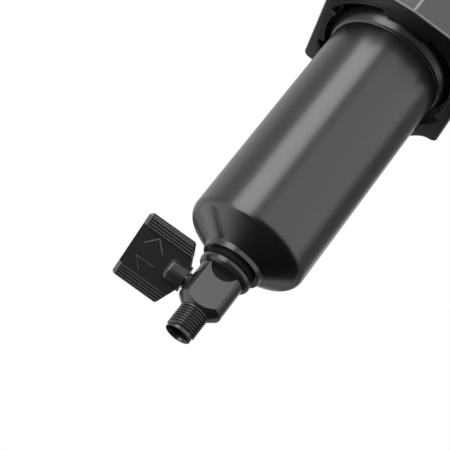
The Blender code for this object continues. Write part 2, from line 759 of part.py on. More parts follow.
def make_support(plastic):
    """Vaned support in the cone of the bowl, with the ring that centres the element's lower cap."""
    ring_inner = CAP_PEG_RADIUS + GAP
    ring_outer = ring_inner + SUPPORT_WALL
    ring_low = SUPPORT_TOP_Z - CAP_PEG_LENGTH - SUPPORT_RING_HEIGHT / 2
    support = piece(
        "element_support", ring(ring_inner, ring_outer, ring_low, SUPPORT_TOP_Z, SIDES), plastic
    )
    rise = math.tan(CONE_ANGLE)
    clear = 2 * GAP
    reach = BOWL_INSIDE - clear
    foot = FLOOR_RADIUS + clear
    cone_rise = (reach - foot) * rise
    middle = ring_inner + SUPPORT_WALL / 2
    over_nut = STUB_TOP_Z + clear
    vane = [
        (middle, SUPPORT_TOP_Z),
        (reach, SUPPORT_TOP_Z),
        (reach, FLOOR_Z + clear + cone_rise + clear),
        (foot, FLOOR_Z + clear + clear),
        (foot, over_nut),
        (middle, over_nut),
    ]
    upright = Matrix.Rotation(math.radians(90), 4, "X")
    for number, angle in enumerate(around(SUPPORT_VANES, math.pi / SUPPORT_VANES)):
        mesh = prism([vane], -SUPPORT_WALL / 2, SUPPORT_WALL / 2)
        turn = Matrix.Rotation(angle, 4, "Z")
        join(support, "support_vane_%d" % (number + 1), mesh, turn @ upright)
    return [support]


def drain_body_profile():
    """Outline of the drain valve's body, from its stub down the outside, round the lip and up the bores."""
    cavity_low = STEM_Z - SEAT_BACK - GAP
    bore_top = SPIGOT_END_Z + SPIGOT_BORE_DEPTH
    lip_top = SPIGOT_END_Z + LIP_LENGTH
    lip = SPIGOT_RADIUS - LIP_STEP
    return [
        (STUB_RADIUS - 2 * GAP, STUB_TOP_Z),
        (STUB_RADIUS, STUB_TOP_Z - 2 * GAP),
        (STUB_RADIUS, FLANGE_TOP_Z),
        (FLANGE_RADIUS, FLANGE_TOP_Z, FLANGE_ROUND),
        (FLANGE_RADIUS, FLANGE_UNDER_Z, FLANGE_ROUND),
        (BODY_RADIUS, FLANGE_UNDER_Z),
        (BODY_RADIUS, BODY_END_Z, BODY_END_ROUND),
        (SPIGOT_RADIUS, SPIGOT_TOP_Z),
        (SPIGOT_RADIUS, lip_top + LIP_STEP),
        (lip, lip_top),
        (lip, SPIGOT_END_Z),
        (SPIGOT_BORE, SPIGOT_END_Z),
        (SPIGOT_BORE, bore_top),
        (WATERWAY_RADIUS, bore_top),
        (WATERWAY_RADIUS, cavity_low),
        (CAVITY_RADIUS, cavity_low),
        (CAVITY_RADIUS, STUB_TOP_Z),
    ]


def make_drain_body(finish):
    """Valve body: turned, with two wrench flats, a scallop over each and the way through for the stem."""
    body = piece("drain_body", turned(drain_body_profile(), SIDES), finish)
    wide = FLANGE_RADIUS + PAST
    scallop_z = FLANGE_UNDER_Z - SCALLOP_HEIGHT + SCALLOP_RADIUS
    for side, y in (("front", -1), ("back", 1)):
        near, far = sorted((y * FLAT_REACH, y * wide))
        flat = block((-wide, near, SPIGOT_TOP_Z - PAST), (wide, far, FLANGE_UNDER_Z))
        cut(body, side + "_flat", flat)
        bottom = FLAT_REACH - SCALLOP_DEPTH
        scallop = rod(SCALLOP_RADIUS, bottom, wide, SIDES)
        turn = ALONG_FLOW_IN if y < 0 else ALONG_FLOW_OUT
        cutter = piece(side + "_scallop", scallop, place=Matrix.Translation((0, 0, scallop_z)) @ turn)
        above = block((-wide, -wide, FLANGE_UNDER_Z), (wide, wide, scallop_z + wide))
        cut(cutter, side + "_scallop_limit", above)
        boolean(body, cutter, "DIFFERENCE")
    at_stem = AT_STEM @ ALONG_STEM
    stem_bore = rod(STEM_RADIUS + GAP, BALL_RADIUS / 2, STEM_BORE_END + PAST, SIDES_SMALL)
    cut(body, "stem_bore", stem_bore, at_stem)
    gland_bore = rod(GLAND_BORE, STEM_BORE_END, BODY_RADIUS + PAST, SIDES_SMALL)
    cut(body, "gland_bore", gland_bore, at_stem)
    return body


def make_drain_fixings(rubber, metal, plastic):
    """Seal under the bowl's neck, nut on the stub inside the bowl, and the retainer inside the stub."""
    seal = ring(
        STUB_RADIUS + SEAL_GAP,
        STUB_RADIUS + SEAL_GAP + DRAIN_SEAL_WIDTH,
        FLANGE_TOP_Z + SEAL_GAP,
        RECESS_Z - SEAL_GAP,
        SIDES,
    )
    nut_low = FLOOR_Z + GAP
    nut_high = nut_low + LOCKNUT_HEIGHT
    nut = piece("drain_locknut", prism([polygon(LOCKNUT_ACROSS, 6)], nut_low, nut_high), metal)
    cut(nut, "locknut_hole", rod(STUB_RADIUS + SEAL_GAP, nut_low - PAST, nut_high + PAST, SIDES))
    crown = [
        (0, nut_high),
        (NUT_CORNER - LOCKNUT_CHAMFER, nut_high),
        (NUT_CORNER + PAST, nut_high - (LOCKNUT_CHAMFER + PAST) / 2),
        (NUT_CORNER + PAST, nut_low - PAST),
        (0, nut_low - PAST),
    ]
    keep_inside(nut, "locknut_crown", turned(crown, SIDES, closed=False))
    retainer_low = STEM_Z + SEAT_BACK + GAP
    retainer = ring(WATERWAY_RADIUS, SEAT_RADIUS, retainer_low, STUB_TOP_Z - 3 * GAP, SIDES_SMALL)
    return [
        piece("drain_seal", seal, rubber),
        nut,
        piece("seat_retainer", retainer, plastic),
    ]


def make_seats(finish):
    """Two seats whose cones face the ball."""
    cone = (BALL_RADIUS + GAP) * math.sqrt(2)
    upper = [
        (SEAT_RADIUS, SEAT_BACK),
        (SEAT_RADIUS, SEAT_FRONT),
        (cone - SEAT_FRONT, SEAT_FRONT),
        (SEAT_BORE, cone - SEAT_BORE),
        (SEAT_BORE, SEAT_BACK),
    ]
    lower = [(r, -z) for r, z in reversed(upper)]
    return [
        piece("upper_seat", turned(upper, SIDES_SMALL), finish, AT_STEM),
        piece("lower_seat", turned(lower, SIDES_SMALL), finish, AT_STEM),
    ]


def make_stem_packing(rubber, finish):
    """Seal round the stem and the slotted gland that holds it in."""
    at_stem = AT_STEM @ ALONG_STEM
    seal_radius = STEM_RADIUS + SEAL_GAP + STEM_SEAL_RADIUS
    seal_place = STEM_BORE_END + SEAL_GAP + STEM_SEAL_RADIUS
    seal = torus(seal_radius, STEM_SEAL_RADIUS, seal_place, SIDES_SMALL)
    gland_mesh = ring(STEM_RADIUS + GAP, GLAND_RADIUS, GLAND_INNER, GLAND_OUTER, SIDES_SMALL)
    gland = piece("stem_gland", gland_mesh, finish, at_stem)
    half = GLAND_SLOT / 2
    reach = GLAND_RADIUS + PAST
    slot = block((-reach, -half, BODY_RADIUS), (reach, half, GLAND_OUTER + PAST))
    cut(gland, "gland_slot", slot, at_stem)
    return [piece("stem_seal", seal, rubber, at_stem), gland]


def make_ball_and_stem(ball_finish, stem_finish):
    """Bored ball with its slot, and the stem whose tang turns it."""
    mesh = bpy.data.meshes.new("ball")
    shape = bmesh.new()
    bmesh.ops.create_uvsphere(shape, u_segments=SIDES_SMALL, v_segments=SIDES_SMALL // 2, radius=BALL_RADIUS)
    shape.to_mesh(mesh)
    shape.free()
    mesh.shade_smooth()
    ball = piece("drain_ball", mesh, ball_finish, AS_TURNED)
    bore = rod(WATERWAY_RADIUS, -BALL_RADIUS - PAST, BALL_RADIUS + PAST, SIDES_SMALL)
    cut(ball, "ball_bore", bore, AS_TURNED)
    half_slot = TANG_WIDTH / 2 + GAP
    slot_floor = BALL_RADIUS - TANG_DEPTH - GAP
    wide = BALL_RADIUS + PAST
    slot = block((-wide, -half_slot, -wide), (-slot_floor, half_slot, wide))
    cut(ball, "ball_slot", slot, AS_TURNED)
    stem_start = BALL_RADIUS + GAP
    stem_end = BOSS_START + STEM_IN_HANDLE
    at_stem = AS_TURNED @ ALONG_STEM
    stem = piece("drain_stem", rod(STEM_RADIUS, stem_start, stem_end, SIDES_SMALL), stem_finish, at_stem)
    tang_half = TANG_HEIGHT / 2
    tang = block(
        (-tang_half, -TANG_WIDTH / 2, BALL_RADIUS - TANG_DEPTH),
        (tang_half, TANG_WIDTH / 2, stem_start + PAST),
    )
    join(stem, "stem_tang", tang, at_stem)
    return [ball, stem]


def wing_section(ribbed):
    """Half-section of the wing in (thickness, height): thin panel between two thicker bands."""
    low = WING_HALF_HEIGHT - BAND_HEIGHT
    edge = [(PANEL_HALF_THICKNESS, low - RIB_DEPTH), (BAND_HALF_THICKNESS - RIB_DEPTH, low)]
    if ribbed:
        pitch = (BAND_HEIGHT - WING_EDGE) / RIB_COUNT
        for k in range(RIB_COUNT):
            start = low + k * pitch
            edge.append((BAND_HALF_THICKNESS, start + 0.3 * pitch))
            edge.append((BAND_HALF_THICKNESS, start + 0.6 * pitch))
            edge.append((BAND_HALF_THICKNESS - RIB_DEPTH, start + 0.95 * pitch))
    else:
        edge.append((BAND_HALF_THICKNESS, low + RIB_DEPTH))
        edge.append((BAND_HALF_THICKNESS, WING_HALF_HEIGHT - WING_EDGE))
    edge.append((BAND_HALF_THICKNESS - RIB_DEPTH, WING_HALF_HEIGHT))
    quarter = edge
    right = [(x, -y) for x, y in reversed(quarter)] + quarter
    return right + [(-x, -y) for x, y in right]


def wing_plan():
    """Plan of the wing in (distance from the bowl's axis, height)."""
    top = [
        (WING_REACH, WING_HALF_HEIGHT, WING_CORNER),
        (WING_TAPER_START, WING_HALF_HEIGHT, WING_CORNER / 2),
        (WING_TAPER_END, WING_TAPER_HALF_HEIGHT),
        (BOSS_START, WING_TAPER_HALF_HEIGHT),
    ]
    return rounded(top + [(x, -y, *r) for x, y, *r in reversed(top)])


def make_handle(finish):
    """Moulded wing handle: ribbed bands along its edges, plain blocks at their ends, round boss on the stem."""
    outward = Matrix(((0, 0, -1, 0), (-1, 0, 0, 0), (0, 1, 0, 0), (0, 0, 0, 1)))
    block_start = WING_REACH - BAND_END_BLOCK
    form = piece("handle_form", prism([wing_section(True)], BOSS_START, block_start), place=outward)
    plain = prism([wing_section(False)], block_start - GAP, WING_REACH)
    join(form, "wing_end_blocks", plain, outward)
    wide = 2 * BAND_HALF_THICKNESS
    face_on = Matrix(((-1, 0, 0, 0), (0, 0, 1, 0), (0, 1, 0, 0), (0, 0, 0, 1)))
    keep_inside(form, "wing_plan", prism([wing_plan()], -wide, wide), face_on)
    boss = turned(
        [(0, BOSS_END), (BOSS_RADIUS, BOSS_END, BOSS_ROUND), (BOSS_RADIUS, BOSS_START), (0, BOSS_START)],
        SIDES,
        closed=False,
    )
    join(form, "handle_boss", boss, ALONG_STEM)
    socket_end = BOSS_START + STEM_IN_HANDLE + GAP
    socket = rod(STEM_RADIUS + GAP, BOSS_START - PAST, socket_end, SIDES_SMALL)
    cut(form, "handle_socket", socket, ALONG_STEM)
    return piece("drain_handle", frozen(form), finish, AS_TURNED)


def pivot(name, location, parent=None):
    """Empty on a joint's axis, which carries the pieces that turn on it."""
    empty = bpy.data.objects.new(name, None)
    empty.empty_display_size = BOWL_RADIUS
    bpy.data.collections[PARTS_NAME].objects.link(empty)
    empty.location = location
    if parent:
        carry(parent, [empty])
    return empty


def carry(parent, children):
    bpy.context.view_layer.update()
    for child in children:
        child.parent = parent
        child.matrix_parent_inverse = parent.matrix_world.inverted()


def build():
    clear_scene()
    new_collection(PARTS_NAME)
    new_collection(HELPERS_NAME)
    casting = material("grey_painted_casting", (0.16, 0.16, 0.165), 0.5, 0.2)
    anodised = material("black_anodised_aluminium", (0.045, 0.045, 0.045), 0.32, 0.6)
    nylon = material("black_glass_filled_nylon", (0.06, 0.06, 0.06), 0.5)
    rubber = material("black_nitrile_rubber", (0.015, 0.015, 0.015), 0.6)
    steel = material("zinc_plated_steel", (0.6, 0.6, 0.62), 0.35, 1.0)
    cap_plastic = material("grey_element_plastic", (0.3, 0.31, 0.32), 0.5)
    paper = material("white_filter_paper", (0.85, 0.84, 0.8), 0.9)
    foam = material("yellow_drain_foam", (0.75, 0.62, 0.2), 0.95)
    fluoropolymer = material("white_seat_plastic", (0.85, 0.85, 0.83), 0.5)
    brass = material("nickel_plated_brass", (0.62, 0.6, 0.55), 0.25, 1.0)

    make_head(casting)
    for side, y in (("inlet", -GAUGE_HOLE_REACH), ("outlet", GAUGE_HOLE_REACH)):
        make_gauge_plug(side, y, steel, rubber)
    make_element_caps(cap_plastic, rubber)
    make_element_layers(steel, paper, foam)

    turning = make_bowl(anodised, rubber) + make_support(cap_plastic)
    turning.append(make_drain_body(nylon))
    turning += make_drain_fixings(rubber, brass, fluoropolymer)
    turning += make_seats(fluoropolymer)
    turning += make_stem_packing(rubber, nylon)
    bowl_pivot = pivot("bowl_turn_axis", (0, 0, UNDERSIDE_Z))
    carry(bowl_pivot, turning)
    drain_pivot = pivot("drain_turn_axis", (0, 0, STEM_Z), bowl_pivot)
    carry(drain_pivot, make_ball_and_stem(brass, brass) + [make_handle(nylon)])


build()
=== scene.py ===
import json
import math
from functools import partial

import bmesh
import bpy
from mathutils import Matrix, Vector

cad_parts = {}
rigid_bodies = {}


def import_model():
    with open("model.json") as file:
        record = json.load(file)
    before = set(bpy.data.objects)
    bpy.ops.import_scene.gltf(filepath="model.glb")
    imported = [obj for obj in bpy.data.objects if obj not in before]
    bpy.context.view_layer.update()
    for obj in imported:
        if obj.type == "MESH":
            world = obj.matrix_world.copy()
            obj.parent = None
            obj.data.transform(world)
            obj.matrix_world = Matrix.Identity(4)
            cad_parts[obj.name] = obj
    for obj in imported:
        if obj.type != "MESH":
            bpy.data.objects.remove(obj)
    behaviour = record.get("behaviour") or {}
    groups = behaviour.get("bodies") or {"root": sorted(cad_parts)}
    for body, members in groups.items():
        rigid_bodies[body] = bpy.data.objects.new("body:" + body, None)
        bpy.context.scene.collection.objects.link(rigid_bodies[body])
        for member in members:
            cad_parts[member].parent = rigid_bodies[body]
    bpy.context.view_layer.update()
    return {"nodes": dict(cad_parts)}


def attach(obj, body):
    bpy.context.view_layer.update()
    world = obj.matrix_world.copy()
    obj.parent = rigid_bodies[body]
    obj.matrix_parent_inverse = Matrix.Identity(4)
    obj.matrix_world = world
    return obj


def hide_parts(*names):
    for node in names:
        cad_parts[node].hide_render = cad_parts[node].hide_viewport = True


for leftover in list(bpy.data.objects):
    bpy.data.objects.remove(leftover, do_unlink=True)
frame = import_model()
MM = 0.001

# Head. A die-cast aluminium block with a dark grey powder coat. The coat is slightly grained, the
# edges are softly broken by tumbling, and the ports and the bayonet ring are machined into it.
PORT_Z = -22.0 * MM
UNDERSIDE_Z = -56.0 * MM
CEILING_Z = -34.5 * MM
TAB_TOP_Z = -51.5 * MM
GROOVE_TOP_Z = -46.0 * MM
NOTCH_RADIUS = 37.1 * MM
TAB_RADIUS = 33.7 * MM
NECK_BORE_RADIUS = 29.5 * MM
HEAD_HALF_WIDTH = 38.7 * MM
CORNER_REACH = 29.8 * MM
END_HALF_WIDTH = 17.98 * MM
END_REACH = 44.5 * MM
RIDGE_REACH = 45.9 * MM
PORT_FACE = 47.2 * MM
PORT_BOSS_RADIUS = 15.48 * MM
PORT_BOSS_LENGTH = 21.6 * MM
TAB_ANGLE = math.radians(39)
STOP_ANGLE = math.radians(5)
STOP_DEPTH = 3.6 * MM
DOWN_BORE_RADIUS = 9.5 * MM
SOCKET_RADIUS = 11 * MM
SOCKET_TUBE_RADIUS = 14.5 * MM
SOCKET_LENGTH = 9.5 * MM
SOCKET_SHOULDER_Z = -36.0 * MM
OUTLET_DROP_RADIUS = 6.2 * MM
OUTLET_DROP_Y = 21.7 * MM
GAUGE_HOLE_Y = 21.0 * MM
GAUGE_THREAD_RADIUS = 4.96 * MM
GAUGE_SPOT_RADIUS = 7.3 * MM
GAUGE_SPOT_FLOOR_Z = -3.6 * MM


def coat(name, colour, roughness, grain=0.0, grain_size=0.6 * MM, metallic=0.0, blotch=0.12, gloss=0.5):
    """A finish read from Object coordinates, with slow changes of colour and gloss and a fine grain."""
    made = bpy.data.materials.new(name)
    made.use_nodes = True
    nodes, links = made.node_tree.nodes, made.node_tree.links
    shader = nodes["Principled BSDF"]
    shader.inputs["Metallic"].default_value = metallic
    shader.inputs["Specular IOR Level"].default_value = gloss
    place = nodes.new("ShaderNodeTexCoord")
    cloud = nodes.new("ShaderNodeTexNoise")
    cloud.inputs["Scale"].default_value = 70
    cloud.inputs["Detail"].default_value = 4
    links.new(place.outputs["Object"], cloud.inputs["Vector"])
    tint = nodes.new("ShaderNodeMix")
    tint.data_type = "RGBA"
    tint.inputs["A"].default_value = (*[c * (1 - blotch) for c in colour], 1)
    tint.inputs["B"].default_value = (*[min(1, c * (1 + blotch)) for c in colour], 1)
    links.new(cloud.outputs["Fac"], tint.inputs["Factor"])
    links.new(tint.outputs["Result"], shader.inputs["Base Color"])
    sheen = nodes.new("ShaderNodeMapRange")
    sheen.inputs["To Min"].default_value = roughness * 0.88
    sheen.inputs["To Max"].default_value = min(1, roughness * 1.12)
    links.new(cloud.outputs["Fac"], sheen.inputs["Value"])
    links.new(sheen.outputs["Result"], shader.inputs["Roughness"])
    if grain:
        speckle = nodes.new("ShaderNodeTexNoise")
        speckle.inputs["Scale"].default_value = 1 / grain_size
        speckle.inputs["Detail"].default_value = 3
        links.new(place.outputs["Object"], speckle.inputs["Vector"])
        bump = nodes.new("ShaderNodeBump")
        bump.inputs["Strength"].default_value = grain
        bump.inputs["Distance"].default_value = 0.1 * MM
        links.new(speckle.outputs["Fac"], bump.inputs["Height"])
        links.new(bump.outputs["Normal"], shader.inputs["Normal"])
    return made


def math_node(tree, operation, *values):
    """The output of a Math node that works on numbers and sockets."""
    node = tree.nodes.new("ShaderNodeMath")
    node.operation = operation
    for socket, value in zip(node.inputs, values):
        if isinstance(value, (int, float)):
            socket.default_value = value
        else:
            tree.links.new(value, socket)
    return node.outputs[0]


def fading(tree, value, start, end, level=1.0):
    """0 up to start, level from end on, and a smooth change between."""
    node = tree.nodes.new("ShaderNodeMapRange")
    node.interpolation_type = "SMOOTHSTEP"
    for name, amount in (("Value", value), ("From Min", start), ("From Max", end), ("To Max", level)):
        if isinstance(amount, (int, float)):
            node.inputs[name].default_value = amount
        else:
            tree.links.new(amount, node.inputs[name])
    return node.outputs["Result"]


def painted_edge_highlights(finish, low_edge, ridge_half, colour):
    """Paints a highlight into the coat: a paler shade along the casting's lower edge and down its two end
    ridges, where light catches them.
    """
    tree = finish.node_tree
    nodes, links = tree.nodes, tree.links
    calculate = partial(math_node, tree)
    base = nodes["Principled BSDF"].inputs["Base Color"]
    under = base.links[0].from_socket
    split = nodes.new("ShaderNodeSeparateXYZ")
    links.new(nodes.new("ShaderNodeTexCoord").outputs["Object"], split.inputs[0])
    x, y, z = split.outputs
    below_sides = fading(tree, z, low_edge + 1.15 * MM, low_edge + 0.55 * MM)
    above_underside = fading(tree, z, low_edge + 0.02 * MM, low_edge + 0.12 * MM)
    near_ridge = fading(tree, calculate("ABSOLUTE", x), ridge_half * 1.25, ridge_half * 0.85)
    past_end = fading(tree, calculate("ABSOLUTE", y), END_REACH, END_REACH + 0.6 * MM)
    edge = calculate("MULTIPLY", below_sides, above_underside)
    ridge = calculate("MULTIPLY", near_ridge, past_end)
    mix = nodes.new("ShaderNodeMix")
    mix.data_type = "RGBA"
    mix.inputs["B"].default_value = (*colour, 1)
    links.new(calculate("MAXIMUM", edge, ridge), mix.inputs["Factor"])
    links.new(under, mix.inputs["A"])
    links.new(mix.outputs["Result"], base)


def filleted(corners, step=math.radians(12)):
    """Points of an outline of (x, y) or (x, y, radius) corners, with an arc where there is a radius."""
    points = []
    for i, corner in enumerate(corners):
        here = Vector(corner[:2])
        if len(corner) < 3:
            points.append(here)
            continue
        before = (Vector(corners[i - 1][:2]) - here).normalized()
        after = (Vector(corners[(i + 1) % len(corners)][:2]) - here).normalized()
        half = before.angle(after) / 2
        centre = here + (before + after).normalized() * (corner[2] / math.sin(half))
        start = here + before * (corner[2] / math.tan(half)) - centre
        turn = math.pi - 2 * half
        sense = 1 if before.cross(after) < 0 else -1
        steps = max(3, math.ceil(turn / step))
        for k in range(steps + 1):
            points.append(centre + Matrix.Rotation(sense * turn * k / steps, 2) @ start)
    return points


def mesh_of(name, shape):
    mesh = bpy.data.meshes.new(name)
    shape.to_mesh(mesh)
    shape.free()
    return mesh


def lathe(name, corners, steps=128, closed=True, step=math.radians(12)):
    """A turned shape round Z. Its profile runs down the outside; an open one starts and ends on the axis."""
    profile = filleted(corners, step)
    shape = bmesh.new()
    rings = []
    for r, z in profile:
        if r < 1e-9:
            rings.append([shape.verts.new((0, 0, z))] * steps)
        else:
            angles = [math.tau * k / steps for k in range(steps)]
            rings.append([shape.verts.new((r * math.cos(a), r * math.sin(a), z)) for a in angles])
    pairs = list(zip(rings, rings[1:] + rings[:1]))
    for upper, lower in pairs if closed else pairs[:-1]:
        for k in range(steps):
            j = (k + 1) % steps
            corners_here = []
            for vert in (upper[k], lower[k], lower[j], upper[j]):
                if vert not in corners_here:
                    corners_here.append(vert)
            if len(corners_here) > 2:
                shape.faces.new(corners_here)
    return mesh_of(name, shape)


def raised(name, outline, low, high):
    """A flat outline in XY, raised from low to high."""
    shape = bmesh.new()
    floor = [shape.verts.new((x, y, low)) for x, y in outline]
    roof = [shape.verts.new((x, y, high)) for x, y in outline]
    shape.faces.new(list(reversed(floor)))
    shape.faces.new(roof)
    for i in range(len(outline)):
        j = (i + 1) % len(outline)
        shape.faces.new((floor[i], floor[j], roof[j], roof[i]))
    bmesh.ops.recalc_face_normals(shape, faces=shape.faces)
    return mesh_of(name, shape)


def tool(mesh, place=None):
    """A shape that only cuts or joins."""
    if place is not None:
        mesh.transform(place)
    made = bpy.data.objects.new(mesh.name, mesh)
    bpy.context.scene.collection.objects.link(made)
    return made


def worked(base, steps):
    """The base mesh after Booleans with each (operation, mesh, place) in turn."""
    made = tool(base)
    helpers = []
    for operation, mesh, place in steps:
        helper = tool(mesh, place)
        helpers.append(helper)
        cut = made.modifiers.new("cut", "BOOLEAN")
        cut.operation = operation
        cut.object = helper
        cut.solver = "EXACT"
    mesh = bpy.data.meshes.new_from_object(made.evaluated_get(bpy.context.evaluated_depsgraph_get()))
    for thing in [made] + helpers:
        bpy.data.objects.remove(thing, do_unlink=True)
    return mesh


def fitted(name, mesh, finish, body, slot, *nodes, sharp=math.radians(32)):
    """The finished piece: shaded, on its body, in place of its CAD nodes."""
    mesh.materials.clear()
    mesh.materials.append(finish)
    for face in mesh.polygons:
        face.material_index = 0
    mesh.shade_smooth()
    mesh.set_sharp_from_angle(angle=sharp)
    made = bpy.data.objects.new(name, mesh)
    bpy.context.scene.collection.objects.link(made)
    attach(made, body)
    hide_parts(*nodes)
    return made


def repainted(piece, finish, chosen):
    """Gives a further finish to the faces for which chosen is true."""
    piece.data.materials.append(finish)
    for face in piece.data.polygons:
        if chosen(face):
            face.material_index = len(piece.data.materials) - 1


def new_tree(name, *numbers):
    """A Geometry Nodes tree with these number inputs and a Finish, with its start and its sockets."""
    tree = bpy.data.node_groups.new(name, "GeometryNodeTree")
    tree.interface.new_socket("Geometry", in_out="INPUT", socket_type="NodeSocketGeometry")
    tree.interface.new_socket("Geometry", in_out="OUTPUT", socket_type="NodeSocketGeometry")
    sockets = {}
    for label in (*numbers, "Finish"):
        kind = "NodeSocketMaterial" if label == "Finish" else "NodeSocketFloat"
        sockets[label] = tree.interface.new_socket(label, in_out="INPUT", socket_type=kind).identifier
    return tree, tree.nodes.new("NodeGroupInput"), sockets


def end_tree(tree, start, moved):
    """Ends a tree: instances become real geometry, in the material of its Finish input."""
    real = tree.nodes.new("GeometryNodeRealizeInstances")
    paint = tree.nodes.new("GeometryNodeSetMaterial")
    end = tree.nodes.new("NodeGroupOutput")
    tree.links.new(moved.outputs["Geometry"], real.inputs["Geometry"])
    tree.links.new(real.outputs["Geometry"], paint.inputs["Geometry"])
    tree.links.new(start.outputs["Finish"], paint.inputs["Material"])
    tree.links.new(paint.outputs["Geometry"], end.inputs["Geometry"])


def thread_tree():
    """Geometry Nodes that press a right-hand thread into the outside of a turned shape round Z."""
    tree, start, sockets = new_tree("thread", "Pitch", "Depth", "Low", "High", "Least Radius")
    nodes, links = tree.nodes, tree.links
    calculate = partial(math_node, tree)
    pitch = start.outputs["Pitch"]
    split = nodes.new("ShaderNodeSeparateXYZ")
    links.new(nodes.new("GeometryNodeInputPosition").outputs[0], split.inputs[0])
    x, y, z = split.outputs
    radius = calculate("SQRT", calculate("ADD", calculate("MULTIPLY", x, x), calculate("MULTIPLY", y, y)))
    turns = calculate("DIVIDE", calculate("ARCTAN2", y, x), math.tau)
    phase = calculate("FRACT", calculate("SUBTRACT", calculate("DIVIDE", z, pitch), turns))
    tooth = calculate("SUBTRACT", 1, calculate("ABSOLUTE", calculate("MULTIPLY_ADD", phase, 2, -1)))
    groove = calculate("SUBTRACT", 1, fading(tree, tooth, 0.08, 0.88))
    ends = []
    for edge, sense in (("Low", 1), ("High", -1)):
        full_depth = calculate("MULTIPLY_ADD", pitch, 0.8 * sense, start.outputs[edge])
        ends.append(fading(tree, z, start.outputs[edge], full_depth))
    cut = calculate("MULTIPLY", groove, start.outputs["Depth"])
    inwards = calculate("MULTIPLY", calculate("MULTIPLY", cut, calculate("MULTIPLY", *ends)), -1)
    shift = calculate("DIVIDE", inwards, radius)
    offset = nodes.new("ShaderNodeCombineXYZ")
    links.new(calculate("MULTIPLY", x, shift), offset.inputs[0])
    links.new(calculate("MULTIPLY", y, shift), offset.inputs[1])
    outer = nodes.new("FunctionNodeCompare")
    outer.operation = "GREATER_THAN"
    links.new(radius, outer.inputs[0])
    links.new(start.outputs["Least Radius"], outer.inputs[1])
    move = nodes.new("GeometryNodeSetPosition")
    links.new(start.outputs["Geometry"], move.inputs["Geometry"])
    links.new(outer.outputs[0], move.inputs["Selection"])
    links.new(offset.outputs[0], move.inputs["Offset"])
    end_tree(tree, start, move)
    return tree, sockets


def grown(mesh, tree, sockets, **values):
    """The mesh after a Geometry Nodes tree, as a plain mesh."""
    made = tool(mesh)
    step = made.modifiers.new(tree.name, "NODES")
    step.node_group = tree
    for name, value in values.items():
        step[sockets[name.replace("_", " ")]] = value
    out = bpy.data.meshes.new_from_object(made.evaluated_get(bpy.context.evaluated_depsgraph_get()))
    bpy.data.objects.remove(made, do_unlink=True)
    return out


def head_plan():
    """Plan of the casting: straight sides, rounded corners that flare into two ends with a soft ridge.

    A fine bead, the parting line left by the die, runs down each ridge.
    """
    corner = filleted(
        [(HEAD_HALF_WIDTH, 0), (HEAD_HALF_WIDTH, CORNER_REACH, 3 * MM), (END_HALF_WIDTH, CORNER_REACH)]
    )[1:-1]
    start = corner[-1]
    quarter = [(p.x, p.y) for p in corner]
    for k in range(1, 19):
        share = k / 18
        rise = (1 - math.cos(math.pi * share)) / 2
        quarter.append((start.x + (END_HALF_WIDTH - start.x) * share, start.y + (END_REACH - start.y) * rise))
    slope = (RIDGE_REACH - END_REACH) / END_HALF_WIDTH
    bead, proud = 0.55 * MM, 0.3 * MM
    right = [(x * MM, RIDGE_REACH - slope * x * MM) for x in (12, 6, 2, 0.9, 0.75)]
    for a in (0.1, 0.5, 0.95, 1.3):
        right.append((bead * math.cos(a), RIDGE_REACH - slope * bead + proud * math.sin(a)))
    half = quarter + right + [(-x, y) for x, y in reversed(quarter + right)]
    return half + [(-x, -y) for x, y in half]


def head_block():
    """The outside of the casting, drawn in from its skirt to the pad on top."""
    bottom_edge, draft, shoulder, pad_setback, pad_round = 0.8 * MM, 0.6 * MM, 15 * MM, 10.5 * MM, 2.5 * MM
    levels = []
    for k in range(4):
        turn = math.pi / 2 * k / 3
        levels.append((UNDERSIDE_Z + bottom_edge * (1 - math.cos(turn)), bottom_edge * (1 - math.sin(turn))))
    levels += [(PORT_Z, draft), (-shoulder, 2 * draft)]
    for k in range(1, 13):
        turn = math.pi / 2 * k / 12
        inset = 2 * draft + (pad_setback - pad_round) * (1 - math.cos(turn))
        levels.append((-shoulder + (shoulder - pad_round) * math.sin(turn), inset))
    for k in range(1, 6):
        turn = math.pi / 2 * k / 5
        inset = pad_setback - pad_round + 2 * draft + (pad_round - 2 * draft) * (1 - math.cos(turn))
        levels.append((-pad_round * (1 - math.sin(turn)), inset))
    plan = head_plan()
    shape = bmesh.new()
    below = None
    for z, inset in levels:
        across, along = 1 - inset / HEAD_HALF_WIDTH, 1 - inset / RIDGE_REACH
        level = [shape.verts.new((x * across, y * along, z)) for x, y in plan]
        if below is None:
            shape.faces.new(list(reversed(level)))
        else:
            for i in range(len(plan)):
                j = (i + 1) % len(plan)
                shape.faces.new((below[i], below[j], level[j], level[i]))
        below = level
    shape.faces.new(below)
    return mesh_of("head_block", shape)


def part_ring(inner, outer, middle, width, low, high, steps=12):
    """Part of a ring, width radians wide about the direction middle."""
    angles = [middle + width * (k / steps - 0.5) for k in range(steps + 1)]
    outside = [(outer * math.cos(a), outer * math.sin(a)) for a in angles]
    inside = [(inner * math.cos(a), inner * math.sin(a)) for a in reversed(angles)]
    return raised("part_ring", outside + inside, low, high)


coat_head = coat(
    "dark_grey_powder_coat", (0.038, 0.038, 0.038), 0.4, grain=0.2, grain_size=0.35 * MM, gloss=1.0
)
# Painted highlight: the coat is painted paler along the lower edge and down the two end ridges.
painted_edge_highlights(coat_head, UNDERSIDE_Z, 0.6 * MM, (0.24, 0.24, 0.24))
thread, thread_sockets = thread_tree()
PORT_PITCH = 1.814 * MM


